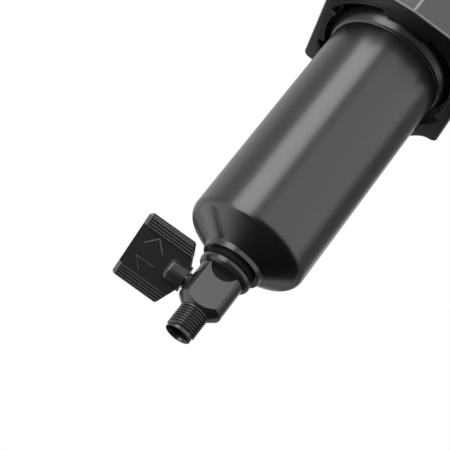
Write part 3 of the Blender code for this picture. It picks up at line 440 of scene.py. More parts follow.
def port_cutter(depth):
    """A half-inch pipe thread's hollow along Z with its mouth at 0, as a shape to cut with."""
    crest, root = 10.48 * MM, 9.3 * MM
    rows = int(15 * MM / (PORT_PITCH / 10))
    walls = [(crest, -1.2 * MM - k * PORT_PITCH / 10) for k in range(rows)]
    last = walls[-1][1]
    corners = [(0, 1 * MM), (crest + 1.4 * MM, 1 * MM), (crest, -0.9 * MM), *walls]
    corners += [(root, last - 0.5 * MM), (root, -depth), (0, -depth)]
    mesh = lathe("port_cutter", corners, steps=96, closed=False)
    return grown(
        mesh, thread, thread_sockets, Pitch=PORT_PITCH, Depth=crest - root, Low=last, High=-0.4 * MM,
        Least_Radius=root + 0.1 * MM, Finish=coat_head,
    )


def bowl_chamber():
    edge, past = 0.5 * MM, 1 * MM
    bottom = UNDERSIDE_Z - past
    socket_end = CEILING_Z - SOCKET_LENGTH
    corners = [
        (0, socket_end), (SOCKET_TUBE_RADIUS, socket_end), (SOCKET_TUBE_RADIUS, CEILING_Z),
        (NECK_BORE_RADIUS, CEILING_Z), (NECK_BORE_RADIUS, GROOVE_TOP_Z), (NOTCH_RADIUS, GROOVE_TOP_Z),
        (NOTCH_RADIUS, TAB_TOP_Z), (TAB_RADIUS, TAB_TOP_Z), (TAB_RADIUS, UNDERSIDE_Z + edge),
        (TAB_RADIUS + edge + past, bottom), (0, bottom),
    ]
    return lathe("bowl_chamber", corners, closed=False)


def head_mesh():
    to_face = Matrix.Translation((0, 0, PORT_FACE))
    at_port = Matrix.Translation((0, 0, PORT_Z))
    to_inlet, to_outlet = (Matrix.Rotation(math.radians(angle), 4, "X") for angle in (90, -90))
    boss_foot = -PORT_FACE + PORT_BOSS_LENGTH
    boss = [(0, 0), (PORT_BOSS_RADIUS, 0, 0.8 * MM), (PORT_BOSS_RADIUS, boss_foot), (0, boss_foot)]
    steps = []
    for turn in (to_inlet, to_outlet):
        steps.append(("UNION", lathe("boss", boss, 96, closed=False), at_port @ turn @ to_face))
    steps.append(("DIFFERENCE", bowl_chamber(), None))
    quarter = math.pi / 2
    for k in range(4):
        notch = part_ring(TAB_RADIUS - 2 * MM, NOTCH_RADIUS, quarter * (k + 0.5), quarter - TAB_ANGLE,
                          UNDERSIDE_Z - 1 * MM, TAB_TOP_Z + 1 * MM)
        steps.append(("DIFFERENCE", notch, None))
    for k in range(4):
        stop = part_ring(NOTCH_RADIUS - STOP_DEPTH, NOTCH_RADIUS + 0.8 * MM, quarter * k + math.radians(22.5),
                         STOP_ANGLE, TAB_TOP_Z - 0.3 * MM, GROOVE_TOP_Z + 1 * MM, steps=3)
        steps.append(("UNION", stop, None))
    end = CEILING_Z - SOCKET_LENGTH - 1 * MM
    socket = [
        (0, PORT_Z), (DOWN_BORE_RADIUS, PORT_Z), (DOWN_BORE_RADIUS, SOCKET_SHOULDER_Z),
        (SOCKET_RADIUS, SOCKET_SHOULDER_Z), (SOCKET_RADIUS, end), (0, end),
    ]
    steps.append(("DIFFERENCE", lathe("element_socket", socket, 96, closed=False), None))
    steps.append(("DIFFERENCE", port_cutter(PORT_FACE), at_port @ to_inlet @ to_face))
    steps.append(("DIFFERENCE", port_cutter(PORT_FACE - 12.5 * MM), at_port @ to_outlet @ to_face))
    low = CEILING_Z - 1 * MM
    drop = [(0, PORT_Z), (OUTLET_DROP_RADIUS, PORT_Z), (OUTLET_DROP_RADIUS, low), (0, low)]
    drop = lathe("outlet_drop", drop, 48, closed=False)
    steps.append(("DIFFERENCE", drop, Matrix.Translation((0, OUTLET_DROP_Y, 0))))
    spot = [
        (0, 1 * MM), (8.2 * MM, 1 * MM), (GAUGE_SPOT_RADIUS, -0.4 * MM),
        (GAUGE_SPOT_RADIUS, GAUGE_SPOT_FLOOR_Z), (GAUGE_THREAD_RADIUS, GAUGE_SPOT_FLOOR_Z),
        (GAUGE_THREAD_RADIUS, PORT_Z), (0, PORT_Z),
    ]
    for y in (-GAUGE_HOLE_Y, GAUGE_HOLE_Y):
        hole = lathe("gauge_hole", spot, 64, closed=False)
        steps.append(("DIFFERENCE", hole, Matrix.Translation((0, y, 0))))
    return worked(head_block(), steps)


# Painted shade: the flat underside faces get a darker copy of the head's coat, standing in for the shade
# below.
coat_underside_painted_shade = coat(
    "underside_painted_shade", (0.007, 0.007, 0.007), 0.36, grain=0.2, grain_size=0.35 * MM, gloss=1.0
)
casting = fitted("head_casting", head_mesh(), coat_head, "head_assembly", "painted_casting", "head")
repainted(
    casting, coat_underside_painted_shade, lambda face: face.normal.z < -0.999 and face.center.z < UNDERSIDE_Z + 0.01 * MM
)

# Gauge plugs. Two zinc-plated steel blanking plugs close the gauge holes in the top of the head. Each is
# turned, with a hexagon socket for a key, and squeezes a flat rubber washer under its flange.
coat_zinc = coat("zinc_plate", (0.62, 0.62, 0.6), 0.3, grain=0.1, metallic=1.0)
coat_rubber = coat("nitrile_rubber", (0.008, 0.008, 0.008), 0.35, grain=0.1, grain_size=0.25 * MM)


def hexagon(across):
    reach = across / 2 / math.cos(math.pi / 6)
    return [(reach * math.cos(math.tau * k / 6), reach * math.sin(math.tau * k / 6)) for k in range(6)]


for side, y in (("inlet", -GAUGE_HOLE_Y), ("outlet", GAUGE_HOLE_Y)):
    flange, shank, top, under, tip = 7 * MM, 4.86 * MM, -0.4 * MM, -2.6 * MM, -9.1 * MM
    fine, pitch = 0.09 * MM, 0.907 * MM
    rows = [(shank, under - 0.5 * MM - k * fine) for k in range(58)]
    profile = [(0, top), (flange, top, 0.6 * MM), (flange, under, 0.2 * MM), (shank, under), *rows]
    profile += [(shank - 0.7 * MM, tip), (0, tip)]
    body = grown(
        lathe("plug", profile, 72, closed=False), thread, thread_sockets, Pitch=pitch, Depth=0.5 * MM,
        Low=tip, High=under, Least_Radius=shank - 0.3 * MM, Finish=coat_zinc,
    )
    key = raised("key_socket", hexagon(5 * MM), top - 4.5 * MM, top + 1 * MM)
    lead = [(0, top + 1 * MM), (4.2 * MM, top + 1 * MM), (2.4 * MM, top - 0.45 * MM), (0, top - 0.45 * MM)]
    lead_in = lathe("lead_in", lead, 48, closed=False)
    body = worked(body, [("DIFFERENCE", key, None), ("DIFFERENCE", lead_in, None)])
    body.transform(Matrix.Translation((0, y, 0)))
    fitted(side + "_plug", body, coat_zinc, "head_assembly", "plated_steel", side + "_gauge_plug")
    washer_reach, washer_high, washer_low, soft_edge = 6.7 * MM, -2.7 * MM, -3.5 * MM, 0.25 * MM
    washer = lathe("washer", [
        (washer_reach, washer_high, soft_edge), (washer_reach, washer_low, soft_edge),
        (GAUGE_THREAD_RADIUS, washer_low), (GAUGE_THREAD_RADIUS, washer_high),
    ], 72)
    washer.transform(Matrix.Translation((0, y, 0)))
    fitted(
        side + "_plug_washer", washer, coat_rubber, "head_assembly", "nitrile_rubber",
        side + "_gauge_plug_seal",
    )

# Filter element. Pleated glass-fibre paper between two perforated steel tubes, in a foam sleeve that drains
# the oil, with a moulded cap bonded to each end. The upper cap's neck pushes into the head with its seal.
coat_cap = coat("grey_cap_plastic", (0.28, 0.29, 0.3), 0.45, grain=0.1)
coat_paper = coat("glass_fibre_paper", (0.82, 0.81, 0.76), 0.9, grain=0.6, grain_size=0.2 * MM)
coat_foam = coat("drain_foam", (0.72, 0.58, 0.18), 0.95, grain=1.0, grain_size=0.5 * MM, blotch=0.3)


def refinished(finish, *nodes):
    """CAD nodes that keep their shape and get a finish."""
    for node in nodes:
        materials = frame["nodes"][node].data.materials
        materials.clear()
        materials.append(finish)


refinished(coat_cap, "element_top_cap", "element_bottom_cap")
refinished(coat_rubber, "element_neck_seal")
refinished(coat_zinc, "element_core", "element_outer_tube")
refinished(coat_paper, "element_media")
refinished(coat_foam, "element_drain_sleeve")

# Bowl. A deep-drawn aluminium tube with a satin black coat, spun in to a cone and a short neck at the foot.
# Four lugs at its rim lock behind the head's tabs, and a round rubber seal sits in the groove above them.
coat_bowl = coat(
    "satin_black_coat", (0.009, 0.009, 0.0093), 0.27, grain=0.04, grain_size=0.5 * MM, blotch=0.08, gloss=1.0
)
BOWL_RADIUS = 28.35 * MM
COLLAR_RADIUS = 29.2 * MM
BOWL_INSIDE = 26.2 * MM
BOWL_TOP_Z = CEILING_Z - 0.6 * MM
SHOULDER_Z = -174.0 * MM
CONE_RISE = math.tan(math.radians(30.46))
NECK_RADIUS = 14.1 * MM
CONE_END_Z = -182.529 * MM
NECK_Z = CONE_END_Z - 2.6 * MM
RECESS_Z = NECK_Z + 0.8 * MM
FLOOR_Z = NECK_Z + 7 * MM
STUB_RADIUS = 9.4 * MM
FLOOR_RADIUS = 14.456 * MM
SEAL_Z = BOWL_TOP_Z - 3.5 * MM
GROOVE_FLOOR = COLLAR_RADIUS - 2 * MM
GROOVE_HALF = 1.15 * MM
SEAL_CORD_RADIUS = 1.05 * MM
NECK_RIM = 1.2 * MM
STUB_HOLE_RADIUS = STUB_RADIUS + 0.3 * MM
bowl_wall = [
    (COLLAR_RADIUS, BOWL_TOP_Z, 0.6 * MM),
    (COLLAR_RADIUS, SEAL_Z + GROOVE_HALF, 0.15 * MM),
    (GROOVE_FLOOR, SEAL_Z + GROOVE_HALF, 0.2 * MM),
    (GROOVE_FLOOR, SEAL_Z - GROOVE_HALF, 0.2 * MM),
    (COLLAR_RADIUS, SEAL_Z - GROOVE_HALF, 0.15 * MM),
    (COLLAR_RADIUS, TAB_TOP_Z + 0.2 * MM),
    (COLLAR_RADIUS + 2.9 * MM, TAB_TOP_Z - 0.3 * MM, 0.3 * MM),
    (COLLAR_RADIUS, UNDERSIDE_Z - 1.5 * MM, 0.3 * MM),
    (BOWL_RADIUS, UNDERSIDE_Z - 2.3 * MM, 0.4 * MM),
    (BOWL_RADIUS, SHOULDER_Z, 5.5 * MM),
    (NECK_RADIUS - 0.1 * MM, CONE_END_Z, 1.6 * MM),
    (NECK_RADIUS, NECK_Z, 0.55 * MM),
    (NECK_RADIUS - NECK_RIM, NECK_Z, 0.2 * MM),
    (NECK_RADIUS - NECK_RIM, RECESS_Z),
    (STUB_HOLE_RADIUS, RECESS_Z),
    (STUB_HOLE_RADIUS, FLOOR_Z),
    (FLOOR_RADIUS, FLOOR_Z),
    (BOWL_INSIDE, FLOOR_Z + (BOWL_INSIDE - FLOOR_RADIUS) * CONE_RISE, 3.6 * MM),
    (BOWL_INSIDE, BOWL_TOP_Z),
]
LUG_ANGLE = math.radians(38)
LUG_FOOT = 27.4 * MM
LUG_REACH = NOTCH_RADIUS - 0.3 * MM
LUG_LOW_Z = TAB_TOP_Z + 0.3 * MM
LUG_HIGH_Z = LUG_LOW_Z + 4.9 * MM
lugs = [part_ring(LUG_FOOT, LUG_REACH, math.pi / 2 * k, LUG_ANGLE, LUG_LOW_Z, LUG_HIGH_Z) for k in range(4)]
tube = worked(lathe("bowl", bowl_wall, 192, step=math.radians(6)), [("UNION", lug, None) for lug in lugs])
fitted("bowl_tube", tube, coat_bowl, "bowl_assembly", "black_anodised", "bowl")


def round_seal(name, major, minor, z, steps=128):
    corners = []
    for k in range(20):
        angle = -math.tau * (k + 0.5) / 20
        corners.append((major + minor * math.cos(angle), z + minor * math.sin(angle)))
    return lathe(name, corners, steps)


fitted(
    "bowl_ring_seal", round_seal("bowl_seal", GROOVE_FLOOR + GROOVE_HALF, SEAL_CORD_RADIUS, SEAL_Z),
    coat_rubber, "bowl_assembly", "nitrile_rubber", "bowl_seal",
)

# Element support. A moulded plastic spider stands in the cone of the bowl, clear of the lock nut, and its
# ring centres the peg of the element's lower cap. It is pressed in and stays with the bowl.
refinished(coat_cap, "element_support")

# Drain valve body. One piece of black glass-filled nylon, moulded and then machined: a round flange, two
# wrench flats with a scallop over each, and a quarter-inch pipe thread on its spigot.
coat_nylon = coat(
    "black_glass_filled_nylon", (0.02, 0.02, 0.02), 0.24, grain=0.08, grain_size=0.3 * MM, gloss=0.75
)
# Painted shade: a darker, matter copy of the nylon for the scallops' floors under the flange.
coat_recess_painted_shade = coat(
    "recess_painted_shade_nylon", (0.012, 0.012, 0.012), 0.6, grain=0.2, grain_size=0.25 * MM, gloss=0.15
)
coat_flat = coat("milled_nylon", (0.085, 0.085, 0.086), 0.5, grain=0.45, grain_size=0.22 * MM)
FLANGE_TOP_Z = NECK_Z - 2.9 * MM
FLANGE_UNDER_Z = FLANGE_TOP_Z - 3.8 * MM
STEM_Z = FLANGE_TOP_Z - 14.2 * MM
BODY_RADIUS = 10.4 * MM
BODY_END_Z = STEM_Z - 6.1 * MM
SPIGOT_RADIUS = 6.58 * MM
SPIGOT_TOP_Z = BODY_END_Z - 3.5 * MM
SPIGOT_END_Z = SPIGOT_TOP_Z - 12.3 * MM
STUB_TOP_Z = FLOOR_Z + 6.2 * MM
SPIGOT_PITCH = 1.337 * MM
SPIGOT_BORE = 5 * MM
FLAT_REACH = 7.7 * MM
FLANGE_RADIUS = 12.4 * MM
WATERWAY_RADIUS = 3 * MM
CAVITY_RADIUS = 5.9 * MM
CAVITY_FLOOR_Z = STEM_Z - 6.3 * MM
SCALLOP_RADIUS = 6.7 * MM
SCALLOP_DEPTH = 1.1 * MM
SCALLOP_Z = FLANGE_UNDER_Z - 4.6 * MM + SCALLOP_RADIUS
STEM_BORE_RADIUS = 2.9 * MM
GLAND_BORE_RADIUS = 3.9 * MM
LIP_TOP_Z = SPIGOT_END_Z + 1.7 * MM
LIP_RADIUS = SPIGOT_RADIUS - 0.55 * MM
BORE_END_Z = SPIGOT_END_Z + 11.3 * MM
rows = int((SPIGOT_TOP_Z - LIP_TOP_Z - 0.35 * MM) / (SPIGOT_PITCH / 12))
spigot_wall = [(SPIGOT_RADIUS, SPIGOT_TOP_Z - 0.1 * MM - k * SPIGOT_PITCH / 12) for k in range(rows)]
valve_wall = [
    (STUB_RADIUS, STUB_TOP_Z, 0.5 * MM),
    (STUB_RADIUS, FLANGE_TOP_Z),
    (FLANGE_RADIUS, FLANGE_TOP_Z, 0.8 * MM),
    (FLANGE_RADIUS, FLANGE_UNDER_Z, 2.7 * MM),
    (BODY_RADIUS, FLANGE_UNDER_Z, 0.3 * MM),
    (BODY_RADIUS, BODY_END_Z, 1.1 * MM),
    (SPIGOT_RADIUS + 0.5 * MM, SPIGOT_TOP_Z + 0.5 * MM),
    *spigot_wall,
    (LIP_RADIUS, LIP_TOP_Z, 0.2 * MM),
    (LIP_RADIUS, SPIGOT_END_Z, 0.2 * MM),
    (SPIGOT_BORE + 0.6 * MM, SPIGOT_END_Z, 0.1 * MM),
    (SPIGOT_BORE, SPIGOT_END_Z + 1.4 * MM, 0.3 * MM),
    (SPIGOT_BORE, BORE_END_Z),
    (WATERWAY_RADIUS, BORE_END_Z),
    (WATERWAY_RADIUS, CAVITY_FLOOR_Z),
    (CAVITY_RADIUS, CAVITY_FLOOR_Z),
    (CAVITY_RADIUS, STUB_TOP_Z),
]
valve = grown(
    lathe("valve", valve_wall, 112), thread, thread_sockets, Pitch=SPIGOT_PITCH, Depth=0.8 * MM,
    Low=LIP_TOP_Z - 0.6 * MM, High=SPIGOT_TOP_Z, Least_Radius=5.95 * MM, Finish=coat_nylon,
)
ALONG_STEM = Matrix.Rotation(math.radians(-90), 4, "Y")
AT_STEM = Matrix.Translation((0, 0, STEM_Z))
valve_steps = []
wide = 14 * MM
for y in (-1, 1):
    near, far = y * FLAT_REACH, y * wide
    flat = [(-wide, near), (wide, near), (wide, far), (-wide, far)]
    flat = raised("flat", flat, SPIGOT_TOP_Z - 1 * MM, FLANGE_UNDER_Z)
    valve_steps.append(("DIFFERENCE", flat, None))
    turns = [math.radians(-161 + 142 * k / 24) for k in range(25)]
    low_half = [(SCALLOP_RADIUS * math.cos(a), SCALLOP_RADIUS * math.sin(a)) for a in turns]
    if y > 0:
        low_half = [(x, -v) for x, v in reversed(low_half)]
    scallop = raised("scallop", low_half, FLAT_REACH - SCALLOP_DEPTH, wide)
    at_flat = Matrix.Translation((0, 0, SCALLOP_Z)) @ Matrix.Rotation(math.radians(-90 * y), 4, "X")
    valve_steps.append(("DIFFERENCE", scallop, at_flat))
stem_bore, gland_bore = (STEM_BORE_RADIUS, 8.3 * MM, 2.7 * MM), (GLAND_BORE_RADIUS, 11.4 * MM, 7.3 * MM)
for radius, outer, inner in (stem_bore, gland_bore):
    bore = lathe("stem_bore", [(0, outer), (radius, outer), (radius, inner), (0, inner)], 48, closed=False)
    valve_steps.append(("DIFFERENCE", bore, AT_STEM @ ALONG_STEM))
valve_body = fitted(
    "valve_body", worked(valve, valve_steps), coat_nylon, "bowl_assembly", "black_nylon", "drain_body"
)
# The flats get the milled finish; the scallop floors get the painted shade.
for finish, reach in ((coat_flat, FLAT_REACH), (coat_recess_painted_shade, FLAT_REACH - SCALLOP_DEPTH)):
    repainted(
        valve_body, finish,
        lambda face: abs(face.normal.y) > 0.999 and abs(abs(face.center.y) - reach) < 0.01 * MM,
    )

# Drain seal, lock nut and retainer. A thick black washer is squeezed between the flange and the bowl's neck
# by a nickel-plated brass nut inside the bowl, and a turned plastic tube holds the valve's upper seat down.
washer_in, washer_out = STUB_RADIUS + 0.1 * MM, STUB_RADIUS + 2.3 * MM
washer_low, washer_high = FLANGE_TOP_Z + 0.1 * MM, RECESS_Z - 0.1 * MM
washer_middle = FLANGE_TOP_Z + 1.2 * MM
fitted(
    "neck_washer",
    lathe("neck_washer", [
        (washer_out, washer_high), (washer_out - 0.7 * MM, washer_middle + 0.4 * MM, 0.1 * MM),
        (washer_out - 0.35 * MM, washer_middle + 0.2 * MM, 0.15 * MM),
        (washer_out - 0.35 * MM, washer_middle - 0.2 * MM, 0.15 * MM),
        (washer_out - 0.8 * MM, washer_middle - 0.4 * MM, 0.1 * MM),
        (washer_out - 1.3 * MM, washer_low, 0.3 * MM), (washer_in, washer_low), (washer_in, washer_high),
    ]),
    coat("matt_rubber", (0.006, 0.006, 0.006), 0.6, grain=0.1, grain_size=0.25 * MM, gloss=0.2),
    "bowl_assembly", "nitrile_rubber", "drain_seal",
)
coat_nickel = coat("nickel_plate", (0.63, 0.6, 0.54), 0.22, grain=0.05, metallic=1.0)
coat_seat = coat("white_seat_plastic", (0.82, 0.82, 0.8), 0.4)
refinished(coat_nickel, "drain_locknut", "drain_ball", "drain_stem")
refinished(coat_seat, "seat_retainer", "upper_seat", "lower_seat")
refinished(coat_rubber, "stem_seal")

# Stem gland. A small slotted nylon nut, screwed into the side of the valve body, that keeps the stem and its
# seal in. It stands just proud of the body, next to the handle's boss.
GLAND_RADIUS = 3.8 * MM
GLAND_OUTER, GLAND_INNER = 11.1 * MM, 8.6 * MM
gland = lathe("gland", [
    (GLAND_RADIUS, GLAND_OUTER, 0.25 * MM), (GLAND_RADIUS, GLAND_INNER),
    (STEM_BORE_RADIUS, GLAND_INNER), (STEM_BORE_RADIUS, GLAND_OUTER, 0.15 * MM),
], 64)
half, narrow = 5 * MM, 0.6 * MM
slot = [(-half, -narrow), (half, -narrow), (half, narrow), (-half, narrow)]
gland = worked(gland, [("DIFFERENCE", raised("gland_slot", slot, 10.4 * MM, 11.4 * MM), None)])
gland.transform(AT_STEM @ ALONG_STEM)
fitted("stem_gland_nut", gland, coat_nylon, "bowl_assembly", "black_nylon", "stem_gland")

# Wing handle. Black moulded nylon, pushed on the stem. Both edges carry a raised band with fine grip ribs,
# the web between them has two raised arrowheads, and a round boss takes the stem.
HANDLE_TURN = math.radians(35)
BOSS_START, BOSS_END, BOSS_RADIUS = 11.4 * MM, 20.9 * MM, 5.5 * MM
WING_REACH = 39.4 * MM
WING_HALF = 15.3 * MM
TAPER_START, TAPER_END, TAPER_HALF = 16.6 * MM, 12.5 * MM, 5.9 * MM
BAND_LOW = 10 * MM
PANEL, BAND = 1.3 * MM, 2.5 * MM
RIB_PITCH = 1.27 * MM
GROOVE_COUNT = 4
BLOCK_START = WING_REACH - 1.8 * MM


def rib_tree():
    """Geometry Nodes that press straight grooves into the bands, leaving ribs between them."""
    tree, start, sockets = new_tree("ribs", "Pitch", "Depth", "Start", "Count", "Reach", "Least Thickness")
    nodes, links = tree.nodes, tree.links
    calculate = partial(math_node, tree)
    given = start.outputs
    split = nodes.new("ShaderNodeSeparateXYZ")
    links.new(nodes.new("GeometryNodeInputPosition").outputs[0], split.inputs[0])
    along, thick, height = split.outputs
    from_start = calculate("SUBTRACT", calculate("ABSOLUTE", height), given["Start"])
    rows = calculate("DIVIDE", from_start, given["Pitch"])
    phase = calculate("MULTIPLY", calculate("FRACT", rows), 2)
    groove = fading(tree, calculate("ABSOLUTE", calculate("SUBTRACT", phase, 1)), 0.92, 0.15)
    from_first = calculate("GREATER_THAN", rows, 0)
    in_rows = calculate("MULTIPLY", from_first, calculate("LESS_THAN", rows, given["Count"]))
    in_reach = calculate("LESS_THAN", along, given["Reach"])
    on_band = calculate("GREATER_THAN", calculate("ABSOLUTE", thick), given["Least Thickness"])
    depth = calculate("MULTIPLY", calculate("MULTIPLY", groove, given["Depth"]), in_rows)
    depth = calculate("MULTIPLY", calculate("MULTIPLY", depth, in_reach), on_band)
    offset = nodes.new("ShaderNodeCombineXYZ")
    inwards = calculate("MULTIPLY", calculate("MULTIPLY", depth, -1), calculate("SIGN", thick))
    links.new(inwards, offset.inputs[1])
    move = nodes.new("GeometryNodeSetPosition")
    links.new(given["Geometry"], move.inputs["Geometry"])
    links.new(offset.outputs[0], move.inputs["Offset"])
    end_tree(tree, start, move)
    return tree, sockets


def wing_bar():
    """The wing's section, two thick bands and a thin web, drawn out along the handle with X outwards."""
    fine = RIB_PITCH / 14
    rows = int((WING_HALF - 0.5 * MM - BAND_LOW) / fine)
    edge = [(PANEL, BAND_LOW - 0.5 * MM), (BAND - 0.15 * MM, BAND_LOW - 0.1 * MM)]
    edge += [(BAND, BAND_LOW + k * fine) for k in range(rows)]
    edge += [(BAND - 0.7 * MM, WING_HALF), (0.0, WING_HALF)]
    right = [(x, -z) for x, z in reversed(edge)] + edge
    section = right + [(-x, z) for x, z in reversed(right[1:-1])]
    stations = [BOSS_START, BLOCK_START - 0.12 * MM, BLOCK_START, WING_REACH]
    shape = bmesh.new()
    rings = []
    for x in stations:
        shrink = 1.1 * MM if x == WING_REACH else 0.0
        ring = []
        for thick, height in section:
            size = max(PANEL, abs(thick) - shrink) if abs(thick) > PANEL else abs(thick)
            ring.append(shape.verts.new((x, math.copysign(size, thick), height)))
        rings.append(ring)
    count = len(section)
    shape.faces.new(list(reversed(rings[0])))
    shape.faces.new(rings[-1])
    for a, b in zip(rings, rings[1:]):
        for i in range(count):
            j = (i + 1) % count
            shape.faces.new((a[i], a[j], b[j], b[i]))
    bmesh.ops.recalc_face_normals(shape, faces=shape.faces)
    return mesh_of("wing_bar", shape)


def arrowhead(sense):
    """A low triangular plateau with sloping sides, on both faces of the web."""
    half, base, tip, rise, slope = 5 * MM, 3.1 * MM, 8.5 * MM, 0.3 * MM, 0.3 * MM
    centre = 29.85 * MM
    meshes = []
    for face in (-1, 1):
        foot = [(centre - half, sense * base), (centre + half, sense * base), (centre, sense * tip)]
        middle = Vector((centre, sense * (2 * base + tip) / 3))
        roof = [Vector(p) + (middle - Vector(p)).normalized() * slope * 2 for p in foot]
        shape = bmesh.new()
        low = [shape.verts.new((x, face * (PANEL - 0.3 * MM), z)) for x, z in foot]
        mid = [shape.verts.new((x, face * PANEL, z)) for x, z in foot]
        top = [shape.verts.new((x, face * (PANEL + rise), z)) for x, z in roof]
        shape.faces.new(low)
        shape.faces.new(top)
        for a, b in ((low, mid), (mid, top)):
            for i in range(3):
                j = (i + 1) % 3
                shape.faces.new((a[i], a[j], b[j], b[i]))
        bmesh.ops.recalc_face_normals(shape, faces=shape.faces)
        meshes.append(mesh_of("arrowhead", shape))
    return meshes


ribs, rib_sockets = rib_tree()
wing = grown(
    wing_bar(), ribs, rib_sockets, Pitch=RIB_PITCH, Depth=0.6 * MM, Start=BAND_LOW + 0.12 * MM,
    Count=float(GROOVE_COUNT), Reach=BLOCK_START - 0.05 * MM, Least_Thickness=BAND - 0.1 * MM,
    Finish=coat_nylon,
)
plan = [
    (WING_REACH + 0.2 * MM, WING_HALF + 0.2 * MM, 2.2 * MM), (TAPER_START, WING_HALF + 0.02 * MM, 1.6 * MM),
    (TAPER_END, TAPER_HALF), (BOSS_START - 0.5 * MM, TAPER_HALF),
]
plan = filleted(plan + [(x, -z, *r) for x, z, *r in reversed(plan)])
upright = Matrix(((1, 0, 0, 0), (0, 0, -1, 0), (0, 1, 0, 0), (0, 0, 0, 1)))
wing_steps = [("INTERSECT", raised("wing_plan", [(p.x, p.y) for p in plan], -6 * MM, 6 * MM), upright)]
for sense in (-1, 1):
    wing_steps += [("UNION", mesh, None) for mesh in arrowhead(sense)]
along_wing = Matrix.Rotation(math.radians(90), 4, "Y")
foot = BOSS_START + 0.05 * MM
boss = [(0, BOSS_END), (BOSS_RADIUS, BOSS_END, 2.4 * MM), (BOSS_RADIUS, foot, 0.3 * MM), (0, foot)]
boss = lathe("boss", boss, 96, closed=False, step=math.radians(9))
hole_end, hole_start = BOSS_END - 2 * MM, BOSS_START - 1 * MM
hole = [(0, hole_end), (STEM_BORE_RADIUS, hole_end), (STEM_BORE_RADIUS, hole_start), (0, hole_start)]
hole = lathe("hole", hole, 48, closed=False)
handle = worked(wing, wing_steps + [("UNION", boss, along_wing), ("DIFFERENCE", hole, along_wing)])


def is_painted_highlight(face):
    """True on the faces that get a painted highlight: the ribs' crests, the bands' edges, the end blocks and
    the slopes of the arrowheads.
    """
    x, thick, height = face.center.x, abs(face.center.y), abs(face.center.z)
    on_boss = x < BOSS_END + 1 * MM and height < 6 * MM
    on_band = thick > BAND - 0.16 * MM or (height > WING_HALF - 0.45 * MM and thick > PANEL)
    on_block = x > BLOCK_START and height > BAND_LOW - 0.3 * MM and thick > PANEL + 0.05 * MM
    on_arrow = PANEL + 0.03 * MM < thick < PANEL + 0.28 * MM and height < 9 * MM and x > 24 * MM
    return x > TAPER_END and not on_boss and (on_band or on_block or on_arrow)


highlighted_faces = {face.index for face in handle.polygons if is_painted_highlight(face)}
outwards = Matrix.Diagonal((-1, -1, 1, 1))
handle.transform(AT_STEM @ Matrix.Rotation(HANDLE_TURN, 4, "X") @ outwards)
# Painted highlight: a lighter copy of the nylon on the rib crests, band edges, end blocks and arrow slopes.
coat_painted_highlight = coat("nylon_painted_highlight", (0.06, 0.06, 0.06), 0.34, grain=0.05, grain_size=0.3 * MM, gloss=1.0)
wing_handle = fitted(
    "wing_handle", handle, coat_nylon, "drain_lever", "black_nylon", "drain_handle", sharp=math.radians(28)
)
repainted(wing_handle, coat_painted_highlight, lambda face: face.index in highlighted_faces)

# Camera and studio. The filter hangs in front of a white backdrop, seen from below at the photo's angle. One
# tall soft box stands to its front left, white screens stand round it on the left and the right, the room is
# dark below and in front, and a pale floor lies well below and behind.
FRAME_PIXELS = 450
FOCAL_PIXELS = 1342.5
SENSOR_WIDTH = 36
camera = bpy.data.objects.new("camera", bpy.data.cameras.new("camera"))
bpy.context.scene.collection.objects.link(camera)
camera.data.sensor_width = SENSOR_WIDTH
camera.data.lens = SENSOR_WIDTH * FOCAL_PIXELS / FRAME_PIXELS
camera.data.clip_start = 0.01
CAMERA_TURN = Vector((-1.97771, 0.55163, -0.50068))
CAMERA_PLACE = (0.0523, -0.5166, -0.4196)
view = Matrix.Rotation(CAMERA_TURN.length, 3, CAMERA_TURN.normalized()).transposed().to_4x4()
view.translation = CAMERA_PLACE
camera.matrix_world = view
bpy.context.scene.camera = camera
bpy.context.scene.view_settings.view_transform = "Standard"

world = bpy.data.worlds.new("studio")
world.use_nodes = True
bpy.context.scene.world = world
room = world.node_tree
room_sum = partial(math_node, room)


def screen(left, right, foot, edge, level):
    """A screen between two compass directions, in degrees from the front, down to an elevation's sine."""
    from_left = fading(room, compass, left - edge, left + edge)
    to_right = fading(room, compass, right + edge, right - edge)
    upwards = fading(room, height, foot - 0.12, foot + 0.12, level)
    return room_sum("MULTIPLY", room_sum("MULTIPLY", from_left, to_right), upwards)


toward = room.nodes.new("ShaderNodeSeparateXYZ")
room.links.new(room.nodes.new("ShaderNodeTexCoord").outputs["Generated"], toward.inputs[0])
rightwards, backwards, height = toward.outputs
compass = room_sum("DEGREES", room_sum("ARCTAN2", rightwards, room_sum("MULTIPLY", backwards, -1)))
ROOM_DARKNESS = 0.02
room_level = ROOM_DARKNESS
for left, right, foot, edge, level in (
    (-8, 97, -0.2, 9, 1.08), (-152, -98, -0.9, 7, 0.78), (-98, -58, -0.9, 7, 0.52), (97, 190, -0.2, 9, 0.2)
):
    room_level = room_sum("ADD", room_level, screen(left, right, foot, edge, level))
low_left = room_sum("MULTIPLY", screen(-150, -55, -0.9, 9, 0.5), fading(room, height, -0.15, -0.5))
room_level = room_sum("ADD", room_level, low_left)
behind = room_sum("MULTIPLY", fading(room, backwards, 0.7, 0.85), fading(room, height, 0.1, 0.35))
path = room.nodes.new("ShaderNodeLightPath").outputs
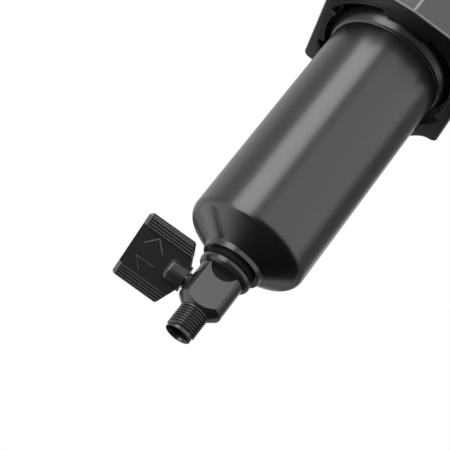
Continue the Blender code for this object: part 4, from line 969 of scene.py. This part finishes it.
mirrored = room_sum("MAXIMUM", path["Is Glossy Ray"], path["Is Transmission Ray"])
white = room_sum("MAXIMUM", path["Is Camera Ray"], room_sum("MULTIPLY", mirrored, behind))
level = room_sum("ADD", room_sum("MULTIPLY", room_level, room_sum("SUBTRACT", 1, white)), white)
backdrop = room.nodes["Background"].inputs
room.links.new(level, backdrop["Strength"])
backdrop["Color"].default_value = (1, 1, 1, 1)

soft_box = bpy.data.lights.new("soft_box", "AREA")
soft_box.shape = "RECTANGLE"
soft_box.size, soft_box.size_y = 0.87, 2.5
soft_box.energy = 22
stand = bpy.data.objects.new("soft_box", soft_box)
bpy.context.scene.collection.objects.link(stand)
BOX_DISTANCE = 1.3
aim = Matrix.Rotation(math.radians(-38), 4, "Z") @ Matrix.Rotation(math.radians(-7), 4, "X")
facing = Matrix.Translation((0, -BOX_DISTANCE, 0)) @ Matrix.Rotation(math.radians(90), 4, "X")
stand.matrix_world = Matrix.Translation((0, 0, -0.12)) @ aim @ facing

floor_mesh = bpy.data.meshes.new("floor")
half, near, far, down = 4, 2.4, 7, -1.2
floor_corners = [(-half, near, down), (half, near, down), (half, far, down), (-half, far, down)]
floor_mesh.from_pydata(floor_corners, [], [(0, 1, 2, 3)])
floor = bpy.data.objects.new("floor", floor_mesh)
bpy.context.scene.collection.objects.link(floor)
floor_paint = bpy.data.materials.new("pale_floor")
floor_paint.use_nodes = True
paint = floor_paint.node_tree
daylight = paint.nodes["Principled BSDF"]
daylight.inputs["Base Color"].default_value = (0.85, 0.85, 0.85, 1)
daylight.inputs["Roughness"].default_value = 0.9
seen = paint.nodes.new("ShaderNodeLightPath").outputs["Is Camera Ray"]
faded = paint.nodes.new("ShaderNodeMixShader")
paint.links.new(math_node(paint, "MULTIPLY", seen, 0.85), faded.inputs[0])
paint.links.new(daylight.outputs[0], faded.inputs[1])
paint.links.new(paint.nodes.new("ShaderNodeEmission").outputs[0], faded.inputs[2])
paint.links.new(faded.outputs[0], paint.nodes["Material Output"].inputs["Surface"])
floor_mesh.materials.append(floor_paint)
